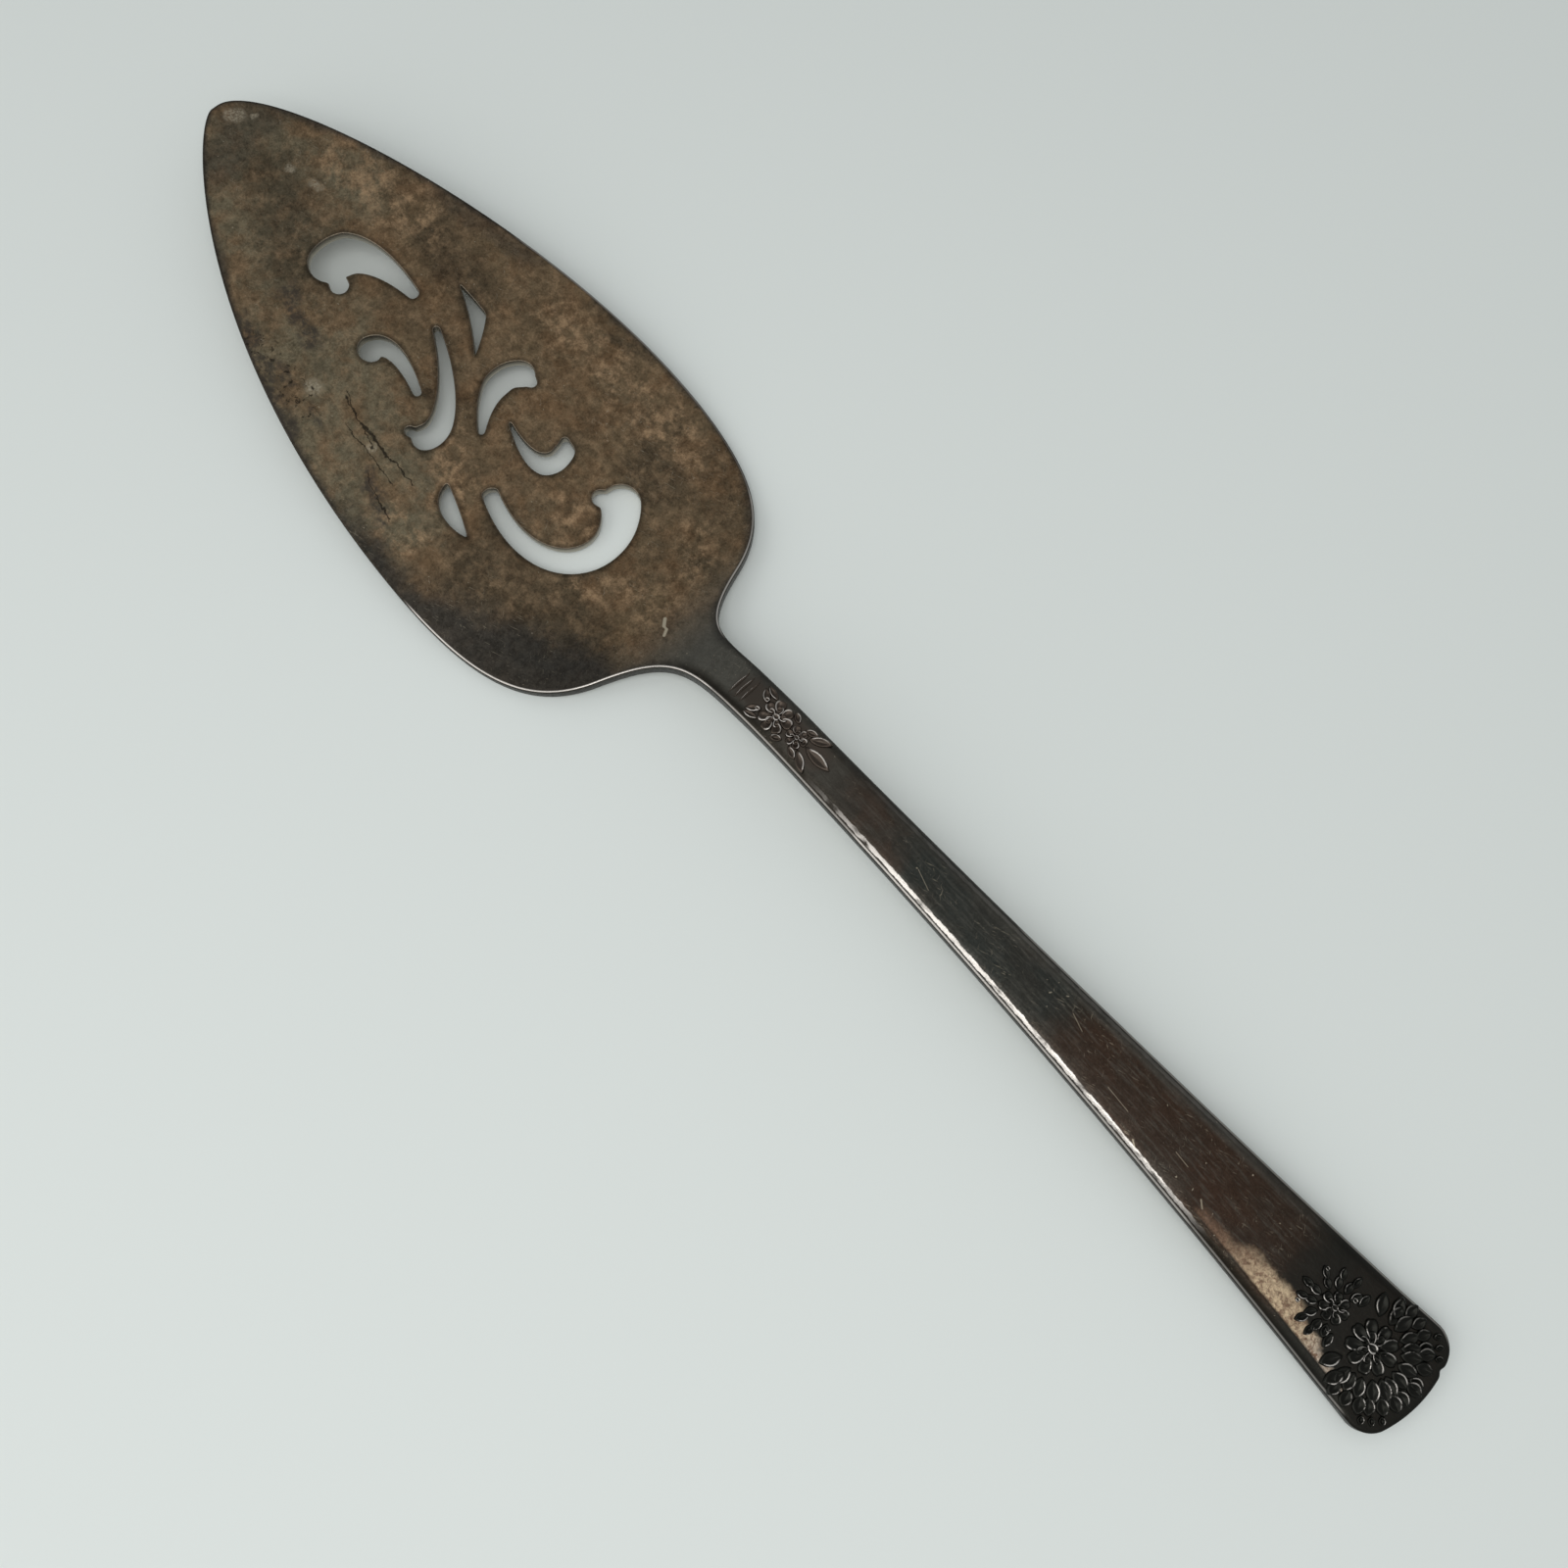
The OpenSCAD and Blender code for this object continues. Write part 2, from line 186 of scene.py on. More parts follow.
class Finish(bpy.types.PropertyGroup):
    """The colours of the tarnish, the bare metal and the stage"""
    tarnish_dark: colour("Dark tarnish", "#443c30", "Heavy tarnish on the blade")
    tarnish_brown: colour("Brown tarnish", "#6a5a45", "Most of the blade")
    tarnish_gold: colour("Thin tarnish", "#a18668", "Thin, golden tarnish")
    tarnish_olive: colour("Olive tarnish", "#6d6653", "The olive side of the blade")
    tarnish_red: colour("Red-brown stains", "#6a523b", "Warm stains on the blade")
    edge_grey: colour("Edge tarnish", "#353431", "Thick grey tarnish along the edges")
    handle_dark: colour("Handle tarnish", "#302b26", "Most of the handle")
    handle_red: colour("Red-brown tarnish", "#382b23", "Warmer areas of the handle")
    handle_cold: colour("Cold tarnish", "#2b302e", "Colder area of the handle")
    # Also the colour of the painted sheen and the painted light on the handle
    neck_grey: colour("Neck tarnish", "#5a5851", "The heel's end and the neck")
    neck_brown: colour("Neck flowers", "#4a423b", "The ground of the flowers at the neck")
    smudge: colour("Smudges", "#423d38", "Dark stains on the olive side")
    # Also the colour of the painted highlights on the rims and the handle's band, and of the
    # flowers' painted glints
    bare_silver_and_highlight: colour("Bare silver", "#d6d0c8", "Rubbed silver on edges and high places")
    clean_silver: colour("Clean silver", "#bdb6a8", "Thinly tarnished metal below, in the cuts")
    bare_gold: colour("Bare patch", "#ecd5b0", "The bare patch near the handle's end")
    bare_copper: colour("Copper stain", "#7f6553", "Where the plate is worn through")
    oxide: colour("Black oxide", "#252522", "The ground between the flowers")
    # Also the colour of the painted shade on the handle's -Y band and on its +Y half
    pit: colour("Pits", "#26221c", "Corrosion pits and dark scratches")
    speck: colour("Specks", "#b9ae98", "Pale specks and rubbed spots")
    floor: colour("Floor", "#dadfdb", "The plain pale floor")


# General curves and blends

def read_sizes(*groups):
    """All sizes as plain numbers: lengths in millimetres, angles in radians"""
    values = {}
    for group in groups:
        for name in type(group).__annotations__:
            value = getattr(group, name)
            is_length = group.bl_rna.properties[name].unit == "LENGTH"
            values[name] = value / MM if is_length else value
    return SimpleNamespace(**values)


def read_colours(group):
    """All colours with full opacity, as a shader takes them"""
    return SimpleNamespace(**{name: (*getattr(group, name), 1)
                              for name in type(group).__annotations__})


def ramp(x, low, high):
    return np.clip((np.asarray(x, float) - low) / (high - low), 0, 1)


def smooth(x, low, high):
    k = ramp(x, low, high)
    return k * k * (3 - 2 * k)


def mix(a, b, k):
    return a + (b - a) * k


def bezier(points, t):
    p = np.array(points, float)
    t = np.asarray(t, float)[:, None]
    s = 1 - t
    return s ** 3 * p[0] + 3 * s * s * t * p[1] + 3 * s * t * t * p[2] + t ** 3 * p[3]


def loop_normals(loop):
    """Unit normals of a closed loop that runs counter-clockwise, pointing out of it"""
    along = np.roll(loop, -1, 0) - np.roll(loop, 1, 0)
    along /= np.linalg.norm(along, axis=1)[:, None]
    return np.stack([along[:, 1], -along[:, 0]], 1)


def counter_clockwise(loop):
    x, y = loop[:, 0], loop[:, 1]
    area = np.sum(x * np.roll(y, -1) - np.roll(x, -1) * y)
    return loop if area > 0 else loop[::-1]


def resample(loop, step):
    """A closed loop with points at even distances"""
    closed = np.vstack([loop, loop[:1]])
    lengths = np.r_[0, np.cumsum(np.linalg.norm(np.diff(closed, axis=0), axis=1))]
    count = max(8, round(lengths[-1] / step))
    at = np.arange(count) * lengths[-1] / count
    return np.stack([np.interp(at, lengths, closed[:, k]) for k in (0, 1)], 1)


class Shape:
    """The server's plan and side view in millimetres, with the tip at X = 0"""

    def __init__(self, sizes):
        self.s = s = sizes
        self.length = (CAD_BOX[1].x - CAD_BOX[0].x) / MM
        self.shoulder_x = s.widest_at + s.heel_len
        self.neck_x = self.shoulder_x + s.neck_gap
        self.touch_x = self.shoulder_x - s.heel_touch
        self.flat_end_x = self.touch_x - s.heel_bend
        self.crest_x = self.neck_x + s.crest_gap
        self.half_w = s.handle_w / 2
        self.corner_y = self.half_w - s.corner_r * (1 - math.sin(s.end_lean))
        self.end_bow = self.corner_y * math.tan(s.end_lean) / 2
        self.corner_x = self.length - self.end_bow - s.corner_r * math.cos(s.end_lean)
        self.outline = self.make_outline()
        self.mid_y = (self.outline[:, 1].max() + self.outline[:, 1].min()) / 2

    def under(self, x):
        s = self.s
        x = np.asarray(x, float)
        slope = math.tan(s.blade_slope)
        flat = (s.heel_bend / 2 + self.flat_end_x - x) * slope
        bend = (self.touch_x - x) ** 2 * slope / (2 * s.heel_bend)
        rise = s.crest_h * smooth(x, self.touch_x, self.crest_x)
        fall = s.crest_h * (1 - ((x - self.crest_x) / (self.length - self.crest_x)) ** 2)
        return np.select([x < self.flat_end_x, x < self.touch_x, x < self.crest_x],
                         [flat, bend, rise], fall)

    def thick(self, x):
        s = self.s
        blade = mix(s.blade_t, s.neck_t, smooth(x, self.flat_end_x, self.neck_x))
        handle = mix(s.neck_t, s.end_t, ramp(x, self.neck_x, self.length))
        return np.where(np.asarray(x) < self.neck_x, blade, handle)

    def top(self, x):
        return self.under(x) + self.thick(x)

    def on_blade(self, p):
        """From the blade's own straight axis to the plan"""
        p = np.asarray(p, float)
        c, d = math.cos(self.s.blade_cant), math.sin(self.s.blade_cant)
        return np.stack([p[..., 0] * c + p[..., 1] * d,
                         self.s.tip_shift - p[..., 0] * d + p[..., 1] * c], -1)

    def side(self, sign):
        """One side of the outline, from the tip to the middle of the handle's end"""
        s = self.s
        half = sign * s.blade_w / 2
        shoulder = np.array([self.shoulder_x, sign * s.heel_w / 2])
        lean = s.heel_pull * np.array([math.cos(s.heel_angle), -sign * math.sin(s.heel_angle)])
        neck = [self.neck_x, sign * s.neck_w / 2]
        inner = self.half_w - s.flare_pull * math.tan(s.flare_angle)
        front = self.on_blade(bezier(
            [[0, sign * s.blunt_half], [0, sign * s.tip_pull + s.tip_skew],
             [s.widest_at - s.side_pull + sign * s.side_skew, half], [s.widest_at, half]],
            np.linspace(0, 1, 90, endpoint=False) ** 1.4))
        round_shoulder = self.on_blade(bezier(
            [[s.widest_at, half], [s.widest_at + s.shoulder_pull, half],
             shoulder - lean, shoulder],
            np.linspace(0, 1, 48, endpoint=False)))
        flare = bezier(
            [self.on_blade(shoulder), self.on_blade(shoulder + lean),
             [neck[0] - s.neck_pull, neck[1]], neck],
            np.linspace(0, 1, 40, endpoint=False))
        handle = bezier(
            [neck, [neck[0] + s.shank_pull, neck[1]],
             [self.corner_x - s.flare_pull, sign * inner], [self.corner_x, sign * self.half_w]],
            np.linspace(0, 1, 110, endpoint=False))
        turn = np.linspace(math.pi / 2, s.end_lean, 14, endpoint=False)
        corner = np.stack([
            self.corner_x + s.corner_r * np.cos(turn),
            sign * (self.half_w - s.corner_r + s.corner_r * np.sin(turn))], 1)
        k = np.linspace(1, 0, 24)
        end = np.stack([self.length - self.end_bow * k * k, sign * self.corner_y * k], 1)
        return np.vstack([front, round_shoulder, flare, handle, corner, end])

    def make_outline(self):
        """The closed outline, counter-clockwise, with the nick in the handle's end"""
        loop = np.vstack([self.side(-1), self.side(1)[-2::-1]])
        nick_place, nick_half_width = np.array([self.length - 0.7, 4.8]), 0.5
        far = np.linalg.norm(loop - nick_place, axis=1) / nick_half_width
        inward = EDGE_PLAY + self.s.nick_depth * np.exp(-far ** 2)
        return loop - loop_normals(loop) * inward[:, None]

    def band(self, x):
        s = self.s
        grow = smooth(x, self.neck_x - s.band_run / 2, self.neck_x + s.band_run)
        return grow * (1 - smooth(x, self.corner_x - s.band_run / 2, self.corner_x))

    def inset(self, x):
        heel = 1 + 0.5 * smooth(x, self.flat_end_x, self.neck_x)
        return mix(self.s.rim_w * heel, self.s.band_w, self.band(x))

    def drop(self, x):
        return mix(self.s.rim_drop, self.s.band_drop, self.band(x))


# Openings of the blade, on its own axis round the middle of the pattern, in millimetres

def stroke(spine, head, belly, tail, belly_at):
    """A tapering stroke along a curve: round at its head, widest at belly_at"""
    t = np.linspace(0, 1, 41)
    path = bezier(spine, t)
    along = np.gradient(path, axis=0)
    along /= np.linalg.norm(along, axis=1)[:, None]
    left = np.stack([-along[:, 1], along[:, 0]], 1)
    width = np.interp(t, [0, belly_at, 1], [head, belly, tail])[:, None]
    back = math.atan2(along[0, 1], along[0, 0])
    turn = np.linspace(back + math.pi / 2, back + 1.5 * math.pi, 18)[1:-1]
    round_head = path[0] + head * np.stack([np.cos(turn), np.sin(turn)], 1)
    tip_turn = np.linspace(-math.pi / 2, math.pi / 2, 9)[1:-1]
    ahead = math.atan2(along[-1, 1], along[-1, 0]) + tip_turn
    reach = tail * np.stack([np.cos(ahead), np.sin(ahead)], 1) * 0.35
    return np.vstack([(path + width * left)[::-1], round_head, path - width * left,
                      path[-1] + reach])


def curl(x, y, r):
    turn = np.linspace(0, 2 * math.pi, 28, endpoint=False)
    return np.array([x, y]) + r * np.stack([np.cos(turn), np.sin(turn)], 1)


def leaf_cut(corners, bows):
    """A three-cornered leaf; bows are how far its sides bulge"""
    t = np.linspace(0, 1, 16, endpoint=False)[:, None]
    sides = []
    for k in range(3):
        a, b = np.array(corners[k], float), np.array(corners[(k + 1) % 3], float)
        out = np.array([a[1] - b[1], b[0] - a[0]]) / np.linalg.norm(b - a)
        sides.append(mix(a, b, t) + 4 * t * (1 - t) * bows[k] * out)
    return np.vstack(sides)


def openings():
    """The outlines that are joined for each of the eight openings"""
    return [
        [stroke([(-30.4, -2.2), (-31, 1.6), (-26.4, 4.4), (-18, 4.4)], 3.3, 3.65, 0.8, 0.25),
         curl(-26.6, -3.4, 1.5)],
        [stroke([(-15.4, -6), (-15.4, -3.6), (-11.6, -2.9), (-5.2, -5.2)], 2.1, 1.5, 0.6, 0.3)],
        [stroke([(0.7, -8.6), (2.4, -5.6), (-3.6, 0.2), (-12.2, 3.6)], 2, 1.9, 0.5, 0.25),
         curl(-1.5, -9.7, 0.85)],
        [leaf_cut([(-15.5, 10.8), (-9.1, 10.8), (-4.9, 5.3)], [0.1, 0.2, -0.4])],
        [stroke([(1.7, 8.8), (-0.6, 6.6), (0.9, 2.2), (5.5, -1.8)], 2.1, 2, 0.45, 0.45),
         curl(3.7, 9.2, 0.9)],
        [stroke([(15.4, 6.1), (17, 2), (13.6, 0.4), (6.6, 2.7)], 1.5, 1.75, 0.15, 0.4),
         curl(14.2, 7.1, 0.7)],
        [leaf_cut([(16.9, -13.5), (11.2, -14), (8.3, -10.4)], [0.5, 0.7, 0.2])],
        [stroke([(27, 7.3), (35.6, 1.2), (29.2, -12.2), (13.2, -6.5)], 3, 2.35, 1.2, 0.25),
         curl(24.4, 5.5, 1.3)],
    ]


def joined_outline(outlines, step=0.3):
    """One smooth loop round the union of some outlines"""
    points, faces = [], []
    for outline in outlines:
        first = len(points)
        points += [Vector(p) for p in counter_clockwise(outline)]
        faces.append(list(range(first, len(points))))
    verts, _, tris, _, _, inside = delaunay_2d_cdt(points, [], faces, 1, 1e-5)
    count = {}
    for tri, owners in zip(tris, inside):
        if owners:
            for a, b in zip(tri, list(tri[1:]) + [tri[0]]):
                count[a, b] = count.get((a, b), 0) + 1
    after = {a: b for a, b in count if (b, a) not in count}
    start = here = min(after, key=lambda i: verts[i].x)
    loop = []
    while True:
        loop.append(verts[here])
        here = after[here]
        if here == start:
            break
    if len(loop) != len(after):
        raise RuntimeError("The outlines of one opening do not meet")
    loop = resample(np.array([tuple(v) for v in loop]), step)
    for _ in range(3):
        loop = (np.roll(loop, 1, 0) + 2 * loop + np.roll(loop, -1, 0)) / 4
    return counter_clockwise(loop)


# The body as one closed mesh

class Skin:
    """Points and faces of a closed mesh. Each point keeps its distances to the outer edge and
    to the nearest opening, and how clean its metal is"""

    def __init__(self):
        self.points, self.faces, self.count = [], [], 0
        self.marks = {"edge_mm": [], "cut_mm": [], "clean": []}

    def add(self, plan, z, edge, cut=FAR, clean=0.0):
        """Adds points and gives their numbers"""
        plan = np.asarray(plan, float)
        self.points.append(np.column_stack([plan, np.broadcast_to(z, len(plan))]))
        for name, value in (("edge_mm", edge), ("cut_mm", cut), ("clean", clean)):
            self.marks[name].append(np.broadcast_to(value, len(plan)))
        self.count += len(plan)
        return np.arange(self.count - len(plan), self.count)

    def bridge(self, lower, upper):
        """A strip of quads between two closed rings"""
        self.faces += [list(q) for q in zip(lower, np.roll(lower, -1), np.roll(upper, -1), upper)]

    def mesh(self, name, mid):
        points = np.vstack(self.points) - np.array([mid[0], mid[1], 0])
        data = bpy.data.meshes.new(name)
        data.from_pydata((points * MM).tolist(), [], self.faces)
        data.validate()
        for mark, values in self.marks.items():
            attribute = data.attributes.new(mark, "FLOAT", "POINT")
            attribute.data.foreach_set("value", np.concatenate(values).astype(np.float32))
        data.shade_smooth()
        return data


def inside_loops(points, loops):
    """True where a point lies inside an odd number of the loops"""
    hits = np.zeros(len(points), int)
    for loop in loops:
        a, b = loop, np.roll(loop, -1, 0)
        for chunk in range(0, len(points), 4000):
            x, y = points[chunk:chunk + 4000, 0][:, None], points[chunk:chunk + 4000, 1][:, None]
            crosses = (a[:, 1] > y) != (b[:, 1] > y)
            rise = np.where(b[:, 1] == a[:, 1], 1, b[:, 1] - a[:, 1])
            at = a[:, 0] + (y - a[:, 1]) * (b[:, 0] - a[:, 0]) / rise
            hits[chunk:chunk + 4000] += (crosses & (x < at)).sum(1)
    return hits % 2 == 1


def distance_to(points, targets):
    """Distance of each point to the nearest of the targets"""
    far = np.empty(len(points))
    for chunk in range(0, len(points), 2000):
        gap = points[chunk:chunk + 2000, None] - targets[None]
        far[chunk:chunk + 2000] = np.sqrt((gap ** 2).sum(2).min(1))
    return far


def inner_grid(shape, loops):
    """Points inside the face: a wide net on the blade and a close one on the handle"""
    nets = []
    for low, high, step in ((0, shape.flat_end_x, 1.5), (shape.flat_end_x, shape.length, 0.9)):
        x, y = np.meshgrid(np.arange(low, high, step), np.arange(-30, 34, step))
        x = x + (np.arange(len(x)) % 2)[:, None] * step / 2
        net = np.column_stack([x.ravel(), y.ravel()])
        net = net[net[:, 0] < high]
        net = net[inside_loops(net, loops)]
        nets.append(net[distance_to(net, np.vstack(loops)) > step * 0.5])
    return np.vstack(nets)


def rounded(k, power):
    """Depth of a rounded edge, from 1 at its outer side (k = 1) to 0 (k = 0)"""
    return 1 - (1 - np.clip(k, 0, 1) ** power) ** (1 / power)


def body_mesh(shape):
    """Plate with rounded edges and eight openings, each with its wall"""
    s, skin = shape.s, Skin()
    outline = shape.outline
    out = loop_normals(outline)
    inset, drop = shape.inset(outline[:, 0]), shape.drop(outline[:, 0])
    power = mix(2.0, 1.5, shape.band(outline[:, 0]))

    def ring(share):
        return outline - out * (inset * share)[:, None]

    rim_shares = (0, 0.01, 0.04, 0.1, 0.18, 0.28, 0.4, 0.54, 0.7, 0.85)
    top_rings = []
    for share in rim_shares:
        plan = ring(share)
        z = shape.top(plan[:, 0]) - drop * rounded(1 - share, power)
        top_rings.append(skin.add(plan, z, inset * share))
    under_rings = []
    for share in (0, 0.12, 0.4, 1):
        plan = outline - out * s.under_r * share
        z = shape.under(plan[:, 0]) + s.under_r * rounded(1 - share, 2)
        under_rings.append(skin.add(plan, z, 0, clean=UNDERSIDE_CLEAN * share))

    # Each opening has its own rings, which lie in the metal round it
    centre = s.widest_at - s.pattern_gap
    cut_shares = (0, 0.15, 0.5)
    holes = []
    for outlines in openings():
        loop = shape.on_blade(joined_outline(outlines) + [centre, 0])
        away = loop_normals(loop)
        rings = []
        for upper in (True, False):
            for share in cut_shares:
                plan = loop + away * s.cut_r * share
                depth = s.cut_r * rounded(1 - share, 2)
                z = shape.top(plan[:, 0]) - depth if upper else shape.under(plan[:, 0]) + depth
                clean = 0.3 * (1 - share) if upper else 1
                rings.append(skin.add(plan, z, FAR, cut=0, clean=clean))
        holes.append((loop + away * s.cut_r, rings))

    # The flat faces above and below share one net
    loops = [ring(1)] + [loop for loop, _ in holes]
    grid = inner_grid(shape, loops)
    flat = np.vstack(loops + [grid])
    firsts = np.cumsum([0] + [len(loop) for loop in loops])
    edges = [(a + i, a + (i + 1) % (b - a)) for a, b in zip(firsts, firsts[1:])
             for i in range(b - a)]
    verts, _, tris, sources, _, _ = delaunay_2d_cdt(
        [Vector(p) for p in flat], edges, [], 0, 1e-6)
    if len(verts) != len(flat):
        raise RuntimeError("The net of the face has points that meet or cross")
    number = np.array([source[0] for source in sources])
    tris = number[np.array([list(t) for t in tris])]
    tris = tris[inside_loops(flat[tris].mean(1), loops)]
    edge = distance_to(flat, outline)
    cut = distance_to(flat, np.vstack([loop for loop, _ in holes]))
    upper = skin.add(flat, shape.top(flat[:, 0]), edge, cut=cut)
    lower = skin.add(flat, shape.under(flat[:, 0]), edge, clean=UNDERSIDE_CLEAN)
    skin.faces += upper[tris].tolist()
    skin.faces += lower[tris[:, ::-1]].tolist()

    # Strips: the outer edge from below to above, then each opening
    rings = under_rings[::-1] + top_rings
    chain = [lower[:firsts[1]]] + rings + [upper[:firsts[1]]]
    for a, b in zip(chain, chain[1:]):
        skin.bridge(a, b)
    for k, (_, rings) in enumerate(holes):
        first, last = firsts[k + 1], firsts[k + 2]
        chain = [upper[first:last]] + rings[2::-1] + rings[3:] + [lower[first:last]]
        for a, b in zip(chain, chain[1:]):
            skin.bridge(a, b)
    return skin.mesh("server_body", (shape.length / 2, shape.mid_y))


# Nodes

def add(tree, kind, inputs=None, **settings):
    """Adds a node with its settings; an input is a value or a socket to link"""
    node = tree.nodes.new(kind)
    for name, value in settings.items():
        setattr(node, name, value)
    for key, value in (inputs or {}).items():
        if isinstance(value, bpy.types.NodeSocket):
            tree.links.new(value, node.inputs[key])
        else:
            node.inputs[key].default_value = value
    return node


def new_material(name):
    material = bpy.data.materials.new(name)
    material.use_nodes = True
    material.node_tree.nodes.clear()
    return material, material.node_tree


def place_in_mm(tree):
    """Object coordinates in millimetres"""
    source = add(tree, "ShaderNodeTexCoord").outputs["Object"]
    return add(tree, "ShaderNodeVectorMath", {0: source, 3: 1 / MM}, operation="SCALE").outputs[0]


def blotches(tree, place, across_mm, low, high, detail=4, roughness=0.6, offset=0.0):
    """Soft irregular spots of about the given size; 0 below low and 1 above high"""
    moved = add(tree, "ShaderNodeVectorMath", {0: place, 1: (offset, offset, 0)})
    noise = add(tree, "ShaderNodeTexNoise",
                {"Vector": moved.outputs[0], "Scale": 1 / across_mm, "Detail": detail,
                 "Roughness": roughness})
    return add(tree, "ShaderNodeMapRange",
               {0: noise.outputs[0], 1: low, 2: high},
               interpolation_type="SMOOTHSTEP").outputs[0]


def near_line(tree, flat, start, end, width, soft):
    """1 within width of the line between two places of the plan, 0 beyond width + soft. It has
    plain vector steps, because a mapping for each of so many lines fills the renderer's stack
    and turns the material black"""
    first = Vector((*start, 0))
    way = Vector((*end, 0)) - first
    ahead = add(tree, "ShaderNodeVectorMath", {0: flat, 1: first}, operation="SUBTRACT").outputs[0]
    share = add(tree, "ShaderNodeVectorMath", {0: ahead, 1: way / way.length_squared},
                operation="DOT_PRODUCT").outputs["Value"]
    share = add(tree, "ShaderNodeClamp", {0: share}).outputs[0]
    nearest = add(tree, "ShaderNodeVectorMath", {0: way, 3: share}, operation="SCALE").outputs[0]
    gap = add(tree, "ShaderNodeVectorMath", {0: ahead, 1: nearest},
              operation="DISTANCE").outputs["Value"]
    return add(tree, "ShaderNodeMapRange", {0: gap, 1: width, 2: width + soft, 3: 1, 4: 0},
               interpolation_type="SMOOTHSTEP").outputs[0]


def combined(tree, operation, *masks):
    """One mask from several: MULTIPLY keeps what all share, MAXIMUM what any has"""
    total = masks[0]
    for mask in masks[1:]:
        total = add(tree, "ShaderNodeMath", {0: total, 1: mask}, operation=operation).outputs[0]
    return total


def layer(tree, under, over, *masks):
    """Lays a colour over another where all the masks meet"""
    return add(tree, "ShaderNodeMix",
               {0: combined(tree, "MULTIPLY", *masks), 6: under, 7: over},
               data_type="RGBA").outputs[2]


def coats(tree, under, *overs):
    """Lays colours one over another, each given as the colour and its masks"""
    for over, *masks in overs:
        under = layer(tree, under, over, *masks)
    return under


def hairlines(tree, place, degrees, across_mm, low, high, longer=12, detail=2, offset=0.0):
    """Short fine lines in one direction, so many times longer than wide"""
    shrunk = add(tree, "ShaderNodeMapping",
                 {"Vector": place, "Rotation": (0, 0, math.radians(degrees)),
                  "Scale": (longer, 1, 1)}, vector_type="TEXTURE").outputs[0]
    return blotches(tree, shrunk, across_mm, low, high, detail=detail, offset=offset)


# Relief: cupped petals and leaves, repeated by geometry nodes and laid on the face

class Pad:
    """A closed pad in the shape of a petal or leaf, with a raised rim and a hollow middle"""

    def __init__(self, length, width, height, sink, pointed=False, cup=0.55, tilt=0.0):
        rings, segments = (1, 0.93, 0.84, 0.72, 0.56, 0.38, 0.18), 20
        turn = np.arange(segments) * 2 * math.pi / segments
        points, faces = [], []

        def plan(ring):
            u = (1 + ring * np.cos(turn)) / 2
            v = ring * np.sin(turn)
            if pointed:
                taper = np.abs(np.sin(turn)) ** 0.7
            else:
                taper = 0.5 + 0.5 * u ** 0.7
                u = u - 0.07 * np.exp(-(v / 0.3) ** 2) * ramp(u, 0.5, 1)
            return length * u, width / 2 * v * taper

        x, y = plan(1)
        points.append(np.column_stack([x, y, np.full(segments, -sink)]))
        for ring in rings:
            x, y = plan(ring)
            rim = 0.35 + 0.65 * smooth(ring, 1, 0.84)
            hollow = 1 - cup * smooth(ring, 0.8, 0.2)
            vein = 1 - 0.22 * np.exp(-(y / width / 0.09) ** 2)
            lean = 1 + tilt * np.sin(turn) * ring
            points.append(np.column_stack([x, y, height * rim * hollow * vein * lean]))
        top = points[-1].mean(0)
        for k in range(len(rings)):
            a = k * segments + np.arange(segments)
            b = k * segments + (np.arange(segments) + 1) % segments
            faces += [list(q) for q in zip(a, b, b + segments, a + segments)]
        last = len(rings) * segments
        apex = last + segments
        faces += [[last + i, last + (i + 1) % segments, apex] for i in range(segments)]
        faces.append(list(range(segments))[::-1])
        self.points = np.vstack(points + [top])
        self.points[segments:, 2] *= height / self.points[:, 2].max()
        self.faces = faces
        self.height = height

    def crest(self):
        return ramp(self.points[:, 2] / self.height, 0.7, 1.0)

    def placed(self, x, y, turn, scale=1.0):
        """A copy that starts at a place of the plan and points along the given angle"""
        c, d = math.cos(math.radians(turn)) * scale, math.sin(math.radians(turn)) * scale
        p = self.points
        moved = np.column_stack([x + p[:, 0] * c - p[:, 1] * d, y + p[:, 0] * d + p[:, 1] * c,
                                 p[:, 2]])
        return moved, self.faces, self.crest()


def eye_pad(r, height, sink):
    """The round middle of a blossom"""
    pad = Pad(2 * r, 2 * r, height, sink, cup=0.35)
    turn = np.arctan2(pad.points[:, 1], pad.points[:, 0] - r)
    far = np.hypot(pad.points[:, 0] - r, pad.points[:, 1])
    reach = np.minimum(far, r * 0.98)
    pad.points[:, 0] = r + reach * np.cos(turn)
    pad.points[:, 1] = reach * np.sin(turn)
    return pad


def raw_mesh(name, pieces):
    """One mesh from pieces of points, faces and crest values"""
    first, points, faces, crest = 0, [], [], []
    for p, f, c in pieces:
        points.append(p)
        crest.append(c)
        faces += [[i + first for i in face] for face in f]
        first += len(p)
    data = bpy.data.meshes.new(name)
    data.from_pydata((np.vstack(points) * MM).tolist(), [], faces)
    attribute = data.attributes.new("crest", "FLOAT", "POINT")
    attribute.data.foreach_set("value", np.concatenate(crest).astype(np.float32))
    data.shade_smooth()
    return data


